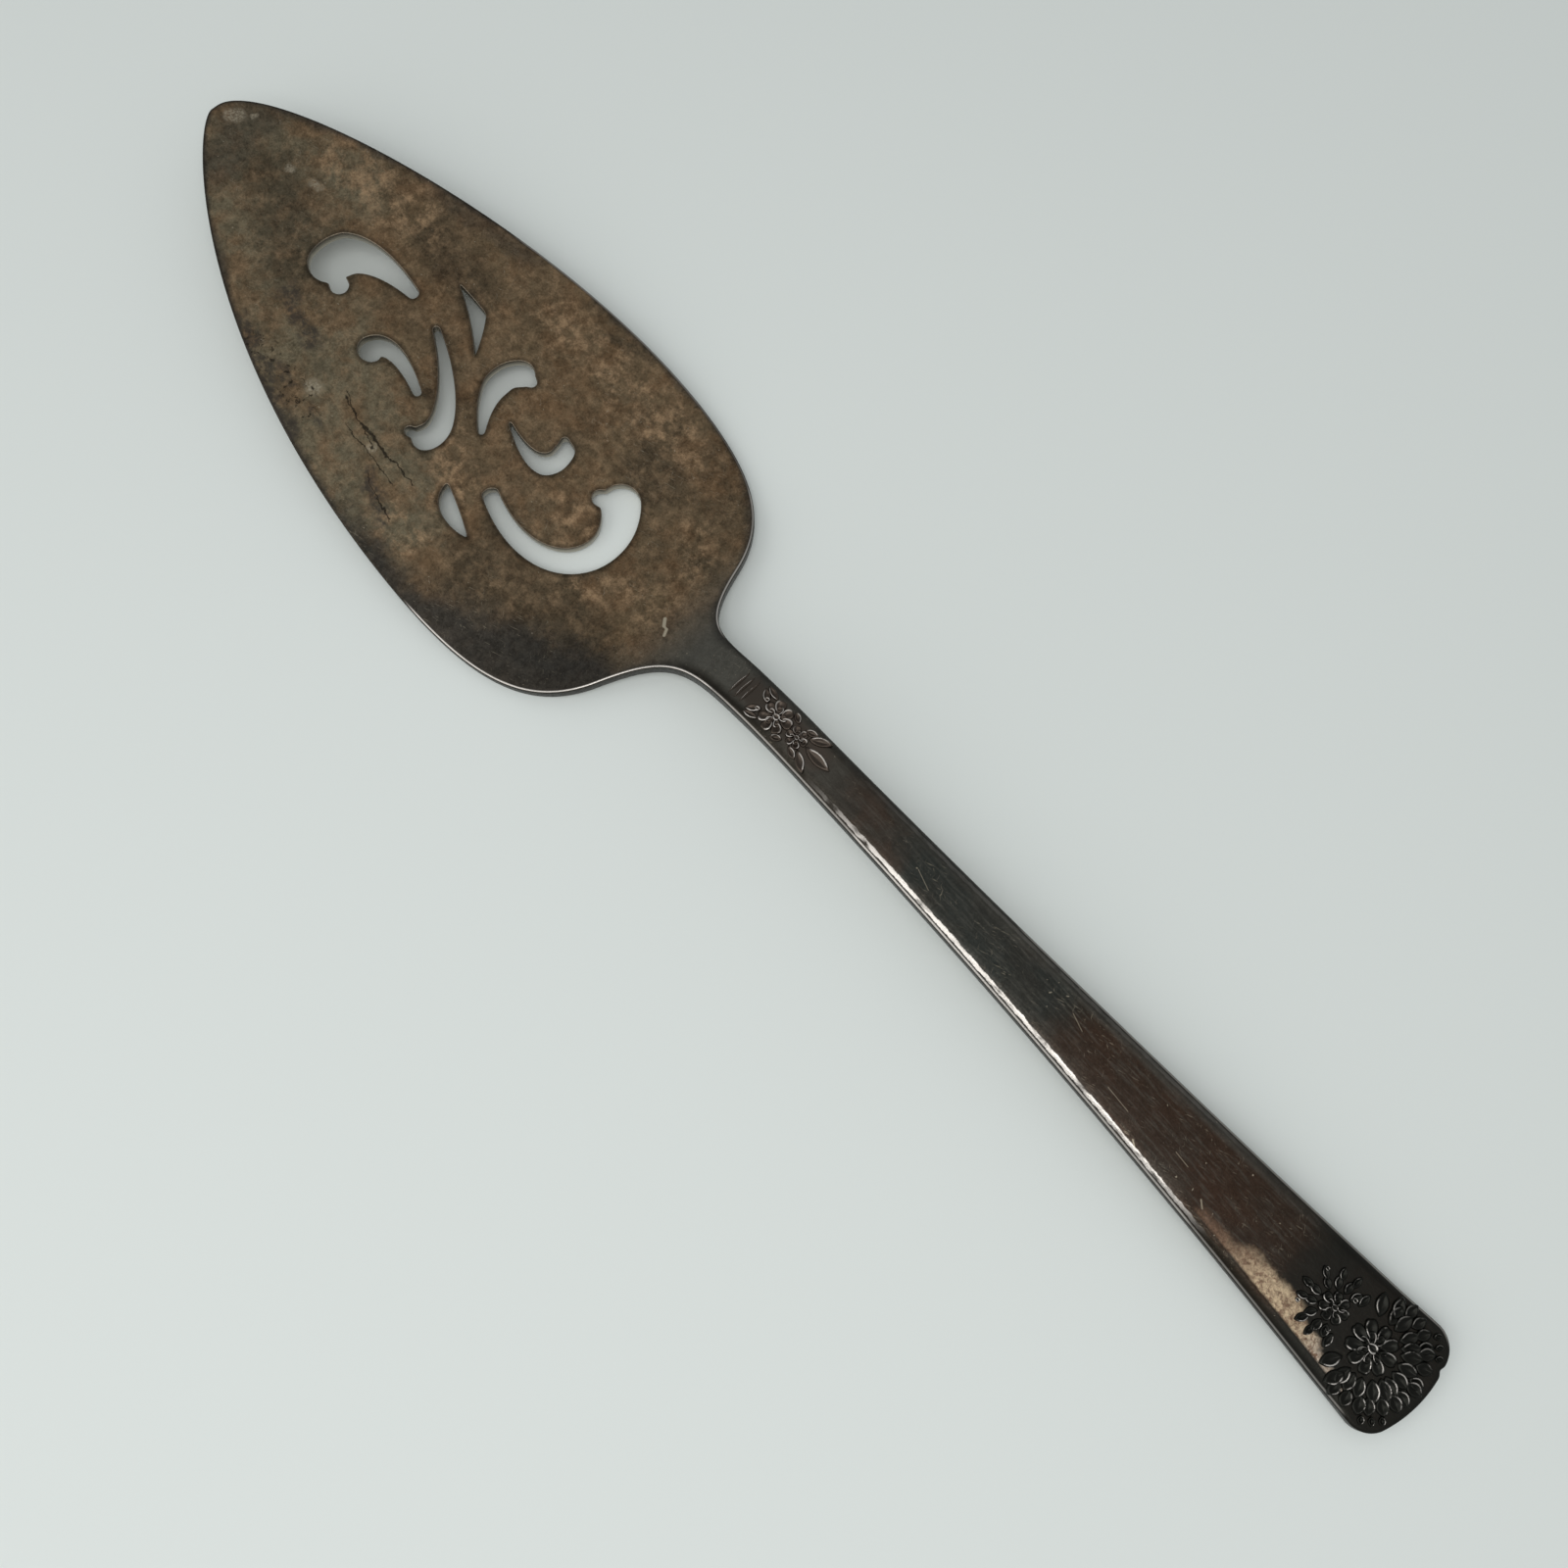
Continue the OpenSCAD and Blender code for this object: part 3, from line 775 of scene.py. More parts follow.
def ring_tree():
    """Sets copies of the object's own mesh round a centre, all pointing away from it"""
    tree = bpy.data.node_groups.new("ring_of_petals", "GeometryNodeTree")
    face = tree.interface
    face.new_socket("Geometry", in_out="INPUT", socket_type="NodeSocketGeometry")
    for name, kind in (("Count", "Int"), ("Radius", "Float"), ("First angle", "Float"),
                       ("Step", "Float"), ("Scatter", "Float"), ("Seed", "Int"),
                       ("Centre", "Vector"), ("Material", "Material")):
        face.new_socket(name, in_out="INPUT", socket_type="NodeSocket" + kind)
    face.new_socket("Geometry", in_out="OUTPUT", socket_type="NodeSocketGeometry")
    given = add(tree, "NodeGroupInput").outputs
    index = add(tree, "GeometryNodeInputIndex").outputs[0]
    low = add(tree, "ShaderNodeMath", {0: 0.0, 1: given["Scatter"]}, operation="SUBTRACT")
    wobble = add(tree, "FunctionNodeRandomValue",
                 {2: low.outputs[0], 3: given["Scatter"], "ID": index,
                  "Seed": given["Seed"]}, data_type="FLOAT")
    turn = add(tree, "ShaderNodeMath",
               {0: index, 1: given["Step"], 2: given["First angle"]}, operation="MULTIPLY_ADD")
    turn = add(tree, "ShaderNodeMath", {0: turn.outputs[0], 1: wobble.outputs[1]})
    out = add(tree, "ShaderNodeCombineXYZ",
              {0: add(tree, "ShaderNodeMath", {0: turn.outputs[0]},
                      operation="COSINE").outputs[0],
               1: add(tree, "ShaderNodeMath", {0: turn.outputs[0]},
                      operation="SINE").outputs[0]})
    place = add(tree, "ShaderNodeVectorMath",
                {0: out.outputs[0], 1: given["Radius"], 2: given["Centre"]},
                operation="MULTIPLY_ADD")
    points = add(tree, "GeometryNodePoints",
                 {"Count": given["Count"], "Position": place.outputs[0]})
    rotation = add(tree, "ShaderNodeCombineXYZ", {2: turn.outputs[0]})
    grow = add(tree, "ShaderNodeMath", {0: wobble.outputs[1], 1: 1.0})
    copies = add(tree, "GeometryNodeInstanceOnPoints",
                 {"Points": points.outputs[0], "Instance": given["Geometry"],
                  "Rotation": rotation.outputs[0], "Scale": grow.outputs[0]})
    real = add(tree, "GeometryNodeRealizeInstances", {"Geometry": copies.outputs[0]})
    coated = add(tree, "GeometryNodeSetMaterial",
                 {"Geometry": real.outputs[0], "Material": given["Material"]})
    add(tree, "NodeGroupOutput", {"Geometry": coated.outputs[0]})
    return tree


def repeated(tree, pad, material, **values):
    """Runs the tree on one pad and gives the result as a piece for raw_mesh"""
    holder = bpy.data.objects.new("petal_holder", raw_mesh("petal", [pad.placed(0, 0, 0)]))
    bpy.context.scene.collection.objects.link(holder)
    modifier = holder.modifiers.new("ring", "NODES")
    modifier.node_group = tree
    sockets = {item.name: item.identifier for item in tree.interface.items_tree
               if item.in_out == "INPUT"}
    for name, value in values.items():
        modifier[sockets[name.replace("_", " ").capitalize()]] = value
    modifier[sockets["Material"]] = material
    graph = bpy.context.evaluated_depsgraph_get()
    result = bpy.data.meshes.new_from_object(holder.evaluated_get(graph))
    holder.modifiers.remove(modifier)
    count = len(result.vertices)
    points, crest = np.empty(count * 3), np.empty(count)
    result.vertices.foreach_get("co", points)
    result.attributes["crest"].data.foreach_get("value", crest)
    faces = [list(face.vertices) for face in result.polygons]
    bpy.data.objects.remove(holder)
    bpy.data.meshes.remove(result)
    return points.reshape(-1, 3) / MM, faces, crest


def blossom(tree, material, s, place, r, petals, seed):
    """Two rings of petals and a round middle"""
    step = 2 * math.pi / petals
    eye = 0.3 * r
    outer = Pad(r - eye * 0.8, 1.65 * math.pi * r / petals, 0.82 * s.relief_h, s.relief_sink,
                cup=0.7, tilt=0.3)
    inner = Pad(0.52 * r, 3.4 * r / petals, 0.96 * s.relief_h, s.relief_sink, cup=0.65,
                tilt=-0.25)
    centre = (place[0] * MM, place[1] * MM, 0.0)
    return [
        repeated(tree, outer, material, count=petals, radius=eye * 0.8 * MM, first_angle=0.2,
                 step=step, scatter=0.06, seed=seed, centre=centre),
        repeated(tree, inner, material, count=petals - 2, radius=eye * 0.35 * MM,
                 first_angle=0.55, step=2 * math.pi / (petals - 2), scatter=0.08,
                 seed=seed + 1, centre=centre),
        eye_pad(eye * 0.8, s.relief_h * 0.98, s.relief_sink).placed(
            place[0] - eye * 0.8, place[1], 0),
    ]


def leaf(s, x, y, turn, length, width, height=0.85):
    return Pad(length, 1.25 * width, height * s.relief_h, s.relief_sink, pointed=True, cup=0.65,
               tilt=0.3).placed(x, y, turn)


def berry(s, x, y, scale=1.0):
    r = s.berry_r * scale
    return eye_pad(r, 0.7 * s.relief_h, s.relief_sink).placed(x - r, y, 0)


def neck_flowers(shape, tree, material):
    """A small spray at the neck: ribs, two blossoms and their leaves"""
    s, r = shape.s, shape.s.neck_blossom_r
    gap, middle = 0.4 * r, shape.neck_x + s.neck_blossom_gap
    half = 0.3 * s.neck_w
    second, small = middle + 1.55 * r, 0.65 * r
    pieces = [leaf(s, shape.neck_x + k * gap, -half, 90, 2 * half, 0.13 * r, 0.3)
              for k in (-1, 0, 1)]
    pieces += blossom(tree, material, s, (middle, 0), r, 7, s.seed)
    pieces += blossom(tree, material, s, (second, 0), small, 6, s.seed + 5)
    pieces.append(leaf(s, second + small, 0, 0, 1.8 * r, 0.5 * r, 0.95))
    for sign in (-1, 1):
        for x, y, turn, length, width, height in (
                (second + 0.7 * small, 0.4, 32, 1.3, 0.4, 0.85),
                (second, 0.6, 20, 0.8, 0.3, 0.75),
                (middle + 0.5 * r, 0.95, -30, 0.7, 0.3, 0.9),
                (middle - 0.9 * r, 0.2, 140, 0.9, 0.35, 0.85),
                (middle - 0.6 * r, 0.7, 165, 1, 0.3, 0.8)):
            pieces.append(leaf(s, x, sign * y * r, sign * turn, length * r, width * r, height))
        pieces.append(berry(s, middle - 1.05 * r, sign * 0.35 * r))
    return pieces


def end_flowers(shape, tree, material):
    """The large spray at the handle's end: two blossoms in a dense garland of leaves"""
    s, r, b = shape.s, shape.s.blossom_r, shape.s.bud_r
    middle = shape.length - s.blossom_gap
    bud = middle - s.bud_gap
    centre, bud_centre = (middle * MM, 0.0, 0.0), (bud * MM, 0.0, 0.0)
    pieces = blossom(tree, material, s, (middle, 0), r, 9, s.seed + 10)
    pieces += blossom(tree, material, s, (bud, 0), b, 7, s.seed + 15)

    def garland(length, width, height, radius, count, half_turn, around, seed, facing=0):
        """Leaves round a blossom, spread evenly over half a turn to each side of one direction"""
        pad = Pad(length, width, height * s.relief_h, s.relief_sink, pointed=True, cup=0.7,
                  tilt=0.35)
        step = 2 * math.radians(half_turn) / (count - 1)
        return repeated(tree, pad, material, count=count, radius=radius * MM,
                        first_angle=math.radians(facing - half_turn), step=step, scatter=0.07,
                        seed=s.seed + seed, centre=around)

    outer_r, inner_r = 0.7 * s.border_r, 1.02 * r
    pieces += [
        garland(s.border_r - outer_r, 0.5 * r, 0.92, outer_r, 15, 88, centre, 20),
        garland(outer_r - inner_r + 0.25 * r, 0.52 * r, 0.85, inner_r, 13, 94, centre, 30),
        garland(0.9 * b, 0.55 * b, 0.85, 0.95 * b, 9, 112, bud_centre, 40, 180),
        garland(0.9 * b, 0.5 * b, 0.92, 1.5 * b, 7, 88, bud_centre, 50, 180)]
    corner_start = s.border_r - 0.15
    for sign in (-1, 1):
        for x, y, turn, length, width, height in (
                (middle - 0.55 * r, 0.95 * r, 118, 0.9 * r, 0.42 * r, 0.85),
                (middle - 0.1 * r, 1.3 * r, 112, 0.85 * r, 0.42 * r, 0.95),
                (bud + 0.9 * b, 1.05 * b, 85, b, 0.42 * b, 0.85)):
            pieces.append(leaf(s, x, sign * y, sign * turn, length, width, height))
        for x, y, scale in ((bud + 0.55 * b, 1.15 * b, 1.0), (bud - 1.75 * b, 1.25 * b, 0.8)):
            pieces.append(berry(s, x, sign * y, scale))
        for degrees in (38, 47, 56):
            turn = math.radians(degrees)
            pieces.append(leaf(s, middle + corner_start * math.cos(turn),
                               sign * corner_start * math.sin(turn), sign * degrees, 1.3, 0.75))
    return pieces


def laid_on_face(pieces, shape):
    """Bends flat ornament to the curve of the face and moves it into the frame"""
    laid = []
    for points, faces, crest in pieces:
        z = points[:, 2] + shape.top(points[:, 0])
        laid.append((np.column_stack([points[:, 0] - shape.length / 2,
                                      points[:, 1] - shape.mid_y, z]), faces, crest))
    return laid


def flower_material(finish):
    """The same plate in relief: oxide left in the hollows, worn bright on the crests, with a
    painted glint that is stronger on the -Y side
    """
    material, tree = new_material("oxidised_relief")
    place = place_in_mm(tree)
    x, y = add(tree, "ShaderNodeSeparateXYZ", {0: place}).outputs[:2]
    crest = add(tree, "ShaderNodeAttribute", attribute_name="crest").outputs["Fac"]
    to_end = add(tree, "ShaderNodeMapRange", {0: x, 1: 20, 2: 80}).outputs[0]
    ground = layer(tree, finish.neck_brown, finish.oxide, to_end)
    wear = blotches(tree, place, 3, 0.3, 0.52, detail=5, roughness=0.7, offset=15)
    sparse = blotches(tree, place, 2, 0.41, 0.55, detail=5, roughness=0.7, offset=45)
    wear = add(tree, "ShaderNodeMix", {0: to_end, 2: wear, 3: sparse}).outputs[0]
    least = add(tree, "ShaderNodeMapRange", {0: to_end, 3: 0.2, 4: 0.45}).outputs[0]
    raised = add(tree, "ShaderNodeMapRange", {0: crest, 1: least, 2: 0.9}).outputs[0]
    # Painted glint: the crests' bright silver is full on the -Y side, towards the window lamp, and
    # a quarter on the +Y side
    painted_glint_side = add(tree, "ShaderNodeMapRange", {0: y, 1: -3, 2: 6, 3: 1, 4: 0.25}).outputs[0]
    worn_and_glint = combined(tree, "MULTIPLY", raised, wear, painted_glint_side)
    colour_now = layer(tree, ground, finish.bare_silver_and_highlight, worn_and_glint)
    rough = add(tree, "ShaderNodeMapRange", {0: worn_and_glint, 3: 0.4, 4: 0.25}).outputs[0]
    shader = add(tree, "ShaderNodeBsdfPrincipled",
                 {"Base Color": colour_now, "Metallic": 1.0, "Roughness": rough})
    add(tree, "ShaderNodeOutputMaterial", {"Surface": shader.outputs[0]})
    return material


def zone(tree, place, lines):
    """1 near any of some lines, each given as start, end, width and soft margin"""
    flat = add(tree, "ShaderNodeVectorMath", {0: place, 1: (1, 1, 0)},
               operation="MULTIPLY").outputs[0]
    return combined(tree, "MAXIMUM", *[near_line(tree, flat, *line) for line in lines])


def between(tree, value, low_start, low_end, high_start, high_end):
    """0 below low_start and above high_end, 1 from low_end to high_start"""
    rise = add(tree, "ShaderNodeMapRange", {0: value, 1: low_start, 2: low_end},
               interpolation_type="SMOOTHSTEP").outputs[0]
    fall = add(tree, "ShaderNodeMapRange", {0: value, 1: high_start, 2: high_end, 3: 1, 4: 0},
               interpolation_type="SMOOTHSTEP").outputs[0]
    return combined(tree, "MULTIPLY", rise, fall)


def specks(tree, place, apart_mm, across_mm, share, offset):
    """Small round spots; share is the part of the places that carry one"""
    moved = add(tree, "ShaderNodeVectorMath", {0: place, 1: (offset, offset, 0)})
    cells = add(tree, "ShaderNodeTexVoronoi", {"Vector": moved.outputs[0],
                                               "Scale": 1 / apart_mm})
    chosen = add(tree, "ShaderNodeSeparateXYZ", {0: cells.outputs["Color"]}).outputs[0]
    chosen = add(tree, "ShaderNodeMath", {0: chosen, 1: share}, operation="LESS_THAN")
    reach = across_mm / 2 / apart_mm
    spot = add(tree, "ShaderNodeMapRange",
               {0: cells.outputs["Distance"], 1: reach * 0.5, 2: reach, 3: 1, 4: 0})
    return combined(tree, "MULTIPLY", spot.outputs[0], chosen.outputs[0])


def ragged(tree, place, across_mm, by_mm):
    """The place moved by noise, so that the zones get uneven borders"""
    noise = add(tree, "ShaderNodeTexNoise",
                {"Vector": place, "Scale": 1 / across_mm, "Detail": 3, "Roughness": 0.6})
    shift = add(tree, "ShaderNodeVectorMath",
                {0: noise.outputs["Color"], 1: (0.5, 0.5, 0.5)}, operation="SUBTRACT")
    return add(tree, "ShaderNodeVectorMath",
               {0: shift.outputs[0], 1: (2 * by_mm, 2 * by_mm, 0), 2: place},
               operation="MULTIPLY_ADD").outputs[0]


# Places of the tarnish, the wear and the painted light and shade on the server, in millimetres
# from its middle: start, end, width, margin
OLIVE_SIDE = [((-112, -4), (-62, -20), 5, 10), ((-118, 2), (-104, 8), 3, 8)]
GREY_EDGES = [((-62, -28), (-42, -28), 1.5, 6), ((-42, -28), (-19, -17), 3.5, 7)]
GREY_FILM = [((-122, 8), (-119, -3), 1.5, 4.5), ((-93, 21), (-78, 24), 1.5, 3)]
BROWN_STAINS = [((-44, -16), (-26, -13), 3, 6), ((-112, 2), (-98, -4), 1, 7),
                ((-39, 14), (-36, 13), 2, 5), ((-88, 14), (-78, 13), 1, 5),
                ((-59, 23), (-54, 25), 0.4, 1.5), ((-49, -8), (-45, -9), 1, 3)]
GOLDEN_STAINS = [((-66, 19), (-37, 20), 1.5, 4), ((-33, -6), (-24, 0), 0.5, 3),
                 ((-62, -6), (-54, -10), 1, 4), ((-42, 0), (-37, 1), 1, 3),
                 ((-58, -21), (-54, -20), 1, 3), ((-108, 12), (-92, 14), 1, 6),
                 ((-27, 12), (-23, 8), 1, 3), ((-22, -2), (-20, 1), 1, 3)]
SMUDGES = [((-96, -8.5), (-87.2, -10.5), 0.5, 1.8), ((-93.2, -17.6), (-92.4, -17), 0.5, 0.9),
           ((-90, -17.5), (-84, -17), 0.2, 1.5), ((-96, -17), (-79, -22.3), 0.6, 2),
           ((-79, -17.5), (-76, -18), 0.1, 1.2), ((-66, -18), (-59, -21), 0.2, 1.6)]
PITTED = [((-92, -17), (-80, -18), 1, 3)]
PALE_RINGS = [((-81.7, -15.3), (-81.3, -15.1), 0.5, 1.2),
              ((-68.7, -15.1), (-68.5, -14.9), 0.4, 0.6), ((-124.2, 4), (-123.4, 4.6), 0.6, 1),
              ((-121.8, 6.2), (-121.6, 6.5), 0.2, 0.5), ((-111.6, 4.8), (-111.2, 5), 0.2, 0.6),
              ((-107, 6), (-106.2, 6.3), 0.2, 1)]
DARK_SCRATCHES = [((-77.6, -12.6), (-72.3, -13.6), 0.04, 0.15),
                  ((-72.3, -13.6), (-66, -13.9), 0.14, 0.2),
                  ((-66, -13.9), (-60, -13.9), 0.05, 0.12),
                  ((-78, -12), (-68.5, -14.8), 0.03, 0.1),
                  ((-74, -15.4), (-62, -16.4), 0.03, 0.1),
                  ((-66, -18), (-58, -20.5), 0.03, 0.1),
                  ((-81.6, -15.2), (-81.4, -15.2), 0.08, 0.3),
                  ((-68.6, -15), (-68.6, -14.9), 0.1, 0.2)]
NICK_MARK = [((-19.3, -0.6), (-18.5, -1.5), 0.2, 0.12), ((-18.5, -1.5), (-17.8, -1.6), 0.12, 0.1),
             ((-17.8, -1.6), (-17.3, -2.5), 0.16, 0.12)]
PALE_SCRATCHES = [((83, -1.5), (85.4, -1.7), 0.01, 0.06), ((71, -2.2), (75, -2.5), 0.01, 0.05),
                  ((61, 1.2), (63.5, 0.4), 0.01, 0.05), ((89.5, -3.4), (90.4, -4.1), 0.05, 0.1),
                  ((33, -0.6), (36, -1.6), 0.01, 0.05), ((78, -4.6), (79, -5.2), 0.05, 0.1)]
# GREY_STRETCH is painted light on the handle's first part and its -Y half, DARK_STRETCH painted
# shade on its +Y half
GREY_STRETCH = [((18, -1), (46, -2), 1.5, 5), ((46, -3.5), (86, -5), 0.5, 3)]
DARK_STRETCH = [((60, 4), (104, 6), 2, 6)]
COLD_STRETCH = [((34, 1), (56, 0), 2, 5)]
WARM_STRETCH = [((66, 0), (100, 1), 3, 5)]
# Bright and pale rims: partly worn metal, partly painted highlight
BRIGHT_RIMS = [((-42, -27), (-30, -25), 2, 4), ((-30, -23), (-10, -4), 3, 3),
               ((26, -4), (88, -7), 1.5, 3), ((-26, 19), (-14, 6), 2, 3)]
PALE_RIMS = [((-77, 24), (-58, 26.5), 1.5, 3), ((-58, 26.5), (-30, 20), 2, 4),
             ((-10, -4), (24, -4), 2, 3), ((88, -7), (118, -9), 1.5, 2),
             ((50, 6), (122, 9), 1.5, 2)]
BARE_PATCH = [((91, -4.9), (99, -4.9), 0.2, 1.6), ((99, -4.8), (107, -4.8), 1, 1.8),
              ((107, -5.4), (112, -6), 0.8, 1.2), ((112, -6.2), (118.5, -7), 0.4, 1)]
END_GROUND = [((113, 1), (125, 0), 8, 5)]
NECK_GROUND = [((-2, 0), (12, 0), 1.2, 1.6)]


def silver_places(tree):
    """What the tarnish goes by: the place, the same with uneven borders, and the distances and
    the cleanness that each point of the skin keeps"""
    place = place_in_mm(tree)
    x, y = add(tree, "ShaderNodeSeparateXYZ", {0: place}).outputs[:2]
    edge, cut, clean = [add(tree, "ShaderNodeAttribute", attribute_name=name).outputs["Fac"]
                        for name in ("edge_mm", "cut_mm", "clean")]
    # one_side is 1 on the -Y side, which faces the window lamp; it places painted shade and
    # highlight there
    one_side = add(tree, "ShaderNodeMapRange", {0: y, 1: -1, 2: 1, 3: 1, 4: 0.1}).outputs[0]
    return SimpleNamespace(
        place=place, uneven=ragged(tree, place, 4, 3), nearly=ragged(tree, place, 1.5, 0.8),
        x=x, y=y, edge=edge, cut=cut, clean=clean, one_side=one_side)


def blade_colour(tree, finish, at):
    """Brown and olive tarnish in clouds, stains and fine mottle"""
    clouds = blotches(tree, at.place, 14, 0.4, 0.68)
    red = blotches(tree, at.place, 5, 0.42, 0.66, detail=5, offset=30)
    fine = blotches(tree, at.place, 2.2, 0.42, 0.7, detail=6, roughness=0.7, offset=40)
    return coats(
        tree, finish.tarnish_brown,
        (finish.tarnish_dark, clouds, 0.6),
        (finish.tarnish_olive, zone(tree, at.uneven, OLIVE_SIDE), 0.75),
        (finish.tarnish_red, red, 0.6),
        (finish.tarnish_dark, zone(tree, at.uneven, BROWN_STAINS), 0.7),
        (finish.tarnish_gold, zone(tree, at.uneven, GOLDEN_STAINS), fine, 0.7),
        (finish.tarnish_gold, fine, 0.3))


def handle_colour(tree, finish, at):
    """Near black, with warm and cold stretches, painted light in a grey stretch and painted shade
    in a dark one, a painted sheen along the +Y edge and fine lines along it
    """
    warm = blotches(tree, at.uneven, 10, 0.42, 0.62, offset=120)
    # Painted sheen: a lighter grey line 0.3 to 2.4 mm inside the handle's +Y edge
    far_side = add(tree, "ShaderNodeMapRange", {0: at.y, 1: 1, 2: 3}).outputs[0]
    painted_sheen = combined(tree, "MULTIPLY", between(tree, at.edge, 0.3, 0.9, 1.3, 2.4), far_side,
                     between(tree, at.x, 8, 30, 90, 112), 0.5)
    drawn = hairlines(tree, at.place, 0, 0.4, 0.45, 0.75)
    return coats(
        tree, finish.handle_dark,
        (finish.handle_red, warm),
        (finish.neck_grey, zone(tree, at.uneven, GREY_STRETCH), 0.2),
        (finish.pit, zone(tree, at.uneven, DARK_STRETCH), 0.4),
        (finish.handle_red, zone(tree, at.uneven, WARM_STRETCH), 0.55),
        (finish.handle_cold, zone(tree, at.uneven, COLD_STRETCH), 0.7),
        (finish.neck_grey, painted_sheen),
        (finish.neck_grey, drawn, 0.3))


def edge_tarnish_and_shade(tree, finish, at, now):
    """Thick grey tarnish along the edges, a dark line round the blade and the openings, and
    painted shade on the -Y band at the neck and beside the flowers of the handle's end"""
    creep = blotches(tree, at.place, 9, 0.3, 0.7, offset=200)
    reach = add(tree, "ShaderNodeMapRange", {0: creep, 3: 0.6, 4: 2.2}).outputs[0]
    border = add(tree, "ShaderNodeMath", {0: at.edge, 1: reach}, operation="DIVIDE").outputs[0]
    border = add(tree, "ShaderNodeMapRange", {0: border, 1: 0.2, 2: 1, 3: 0.8, 4: 0}).outputs[0]
    thick = combined(tree, "MULTIPLY", zone(tree, at.uneven, GREY_EDGES), 0.9)
    film = combined(tree, "MULTIPLY", zone(tree, at.uneven, GREY_FILM), 0.45)
    rim = add(tree, "ShaderNodeMapRange", {0: at.edge, 1: 0.15, 2: 0.5, 3: 0.8, 4: 0}).outputs[0]
    halo = add(tree, "ShaderNodeMapRange", {0: at.cut, 1: 0.1, 2: 0.7, 3: 0.6, 4: 0}).outputs[0]
    on_blade = add(tree, "ShaderNodeMapRange", {0: at.x, 1: -22, 2: -11, 3: 1, 4: 0.35},
                   interpolation_type="SMOOTHSTEP").outputs[0]
    outside = add(tree, "ShaderNodeMapRange", {0: at.edge, 1: 0.8, 2: 2, 3: 1, 4: 0}).outputs[0]
    # Painted shade: darkens the -Y band near the edge at the neck and beside the end flowers,
    # dimming the window lamp's reflection there
    painted_shade_band = combined(tree, "MAXIMUM", between(tree, at.x, -18, -8, 16, 36),
                         between(tree, at.x, 85, 93, 124, 130))
    return coats(
        tree, now,
        (finish.edge_grey, combined(tree, "MAXIMUM", border, thick, film)),
        (finish.pit, combined(tree, "MAXIMUM", rim, halo), on_blade),
        (finish.pit, painted_shade_band, outside, at.one_side, 0.8))


def stains(tree, finish, at, now, grain):
    """Smudges, pits, dark spots and scratches. Gives the colour and where it is dark"""
    smudged = combined(tree, "MULTIPLY", zone(tree, at.uneven, SMUDGES),
                       blotches(tree, at.nearly, 1, 0.3, 0.6, detail=5, offset=140), 0.8)
    corroded = blotches(tree, at.nearly, 1.1, 0.54, 0.62, detail=5, roughness=0.7, offset=11)
    corroded = combined(tree, "MULTIPLY", corroded, zone(tree, at.nearly, PITTED))
    dots = combined(tree, "MULTIPLY", specks(tree, at.nearly, 1.5, 0.22, 0.35, 3), 0.7)
    dark = combined(tree, "MAXIMUM", corroded, dots, zone(tree, at.nearly, DARK_SCRATCHES))
    pale = combined(tree, "MULTIPLY", zone(tree, at.nearly, PALE_RINGS), grain, 0.75)
    now = coats(tree, now, (finish.smudge, smudged), (finish.speck, pale),
                (finish.pit, dark, 0.85))
    return now, dark


def pale_marks(tree, at):
    """Pale specks and fine scratches"""
    flecks = combined(tree, "MULTIPLY", specks(tree, at.nearly, 1.1, 0.22, 0.22, 50), 0.5)
    faint = combined(tree, "MULTIPLY", zone(tree, at.place, PALE_SCRATCHES), 0.45)
    lines = combined(tree, "MAXIMUM", hairlines(tree, at.place, 20, 0.17, 0.63, 0.74),
                     hairlines(tree, at.nearly, -50, 0.17, 0.64, 0.76))
    lines = combined(tree, "MULTIPLY", lines,
                     blotches(tree, at.place, 7, 0.42, 0.62, detail=2, offset=220), 0.3)
    return combined(tree, "MAXIMUM", flecks, faint, lines, zone(tree, at.place, NICK_MARK))


def flower_grounds(tree, finish, at, now, grain):
    """Bare and blackened places at the flowers"""
    worn = blotches(tree, at.nearly, 0.7, 0.36, 0.58, detail=6, roughness=0.75, offset=60)
    inside = add(tree, "ShaderNodeMapRange", {0: at.edge, 1: 1.6, 2: 2}).outputs[0]
    begins = add(tree, "ShaderNodeMapRange", {0: at.x, 1: 90, 2: 101, 3: 0.5, 4: 1}).outputs[0]
    patch = combined(tree, "MULTIPLY", zone(tree, at.nearly, BARE_PATCH), inside, begins)
    through = blotches(tree, at.place, 2.5, 0.4, 0.66, detail=5, offset=260)
    copper = add(tree, "ShaderNodeMapRange", {0: at.x, 1: 94, 2: 103, 3: 1, 4: 0.35}).outputs[0]
    copper = combined(tree, "MAXIMUM", combined(tree, "MULTIPLY", through, 0.7), copper)
    bare = coats(tree, finish.bare_gold,
                 (finish.bare_silver_and_highlight, between(tree, at.x, 108, 115, 130, 140), 0.6),
                 (finish.bare_copper, copper))
    bare = coats(tree, finish.bare_copper, (bare, worn), (finish.pit, grain, 0.45))
    return coats(tree, now,
                 (finish.oxide, zone(tree, at.nearly, END_GROUND), 0.85),
                 (finish.neck_brown, zone(tree, at.nearly, NECK_GROUND), 0.85),
                 (bare, patch))


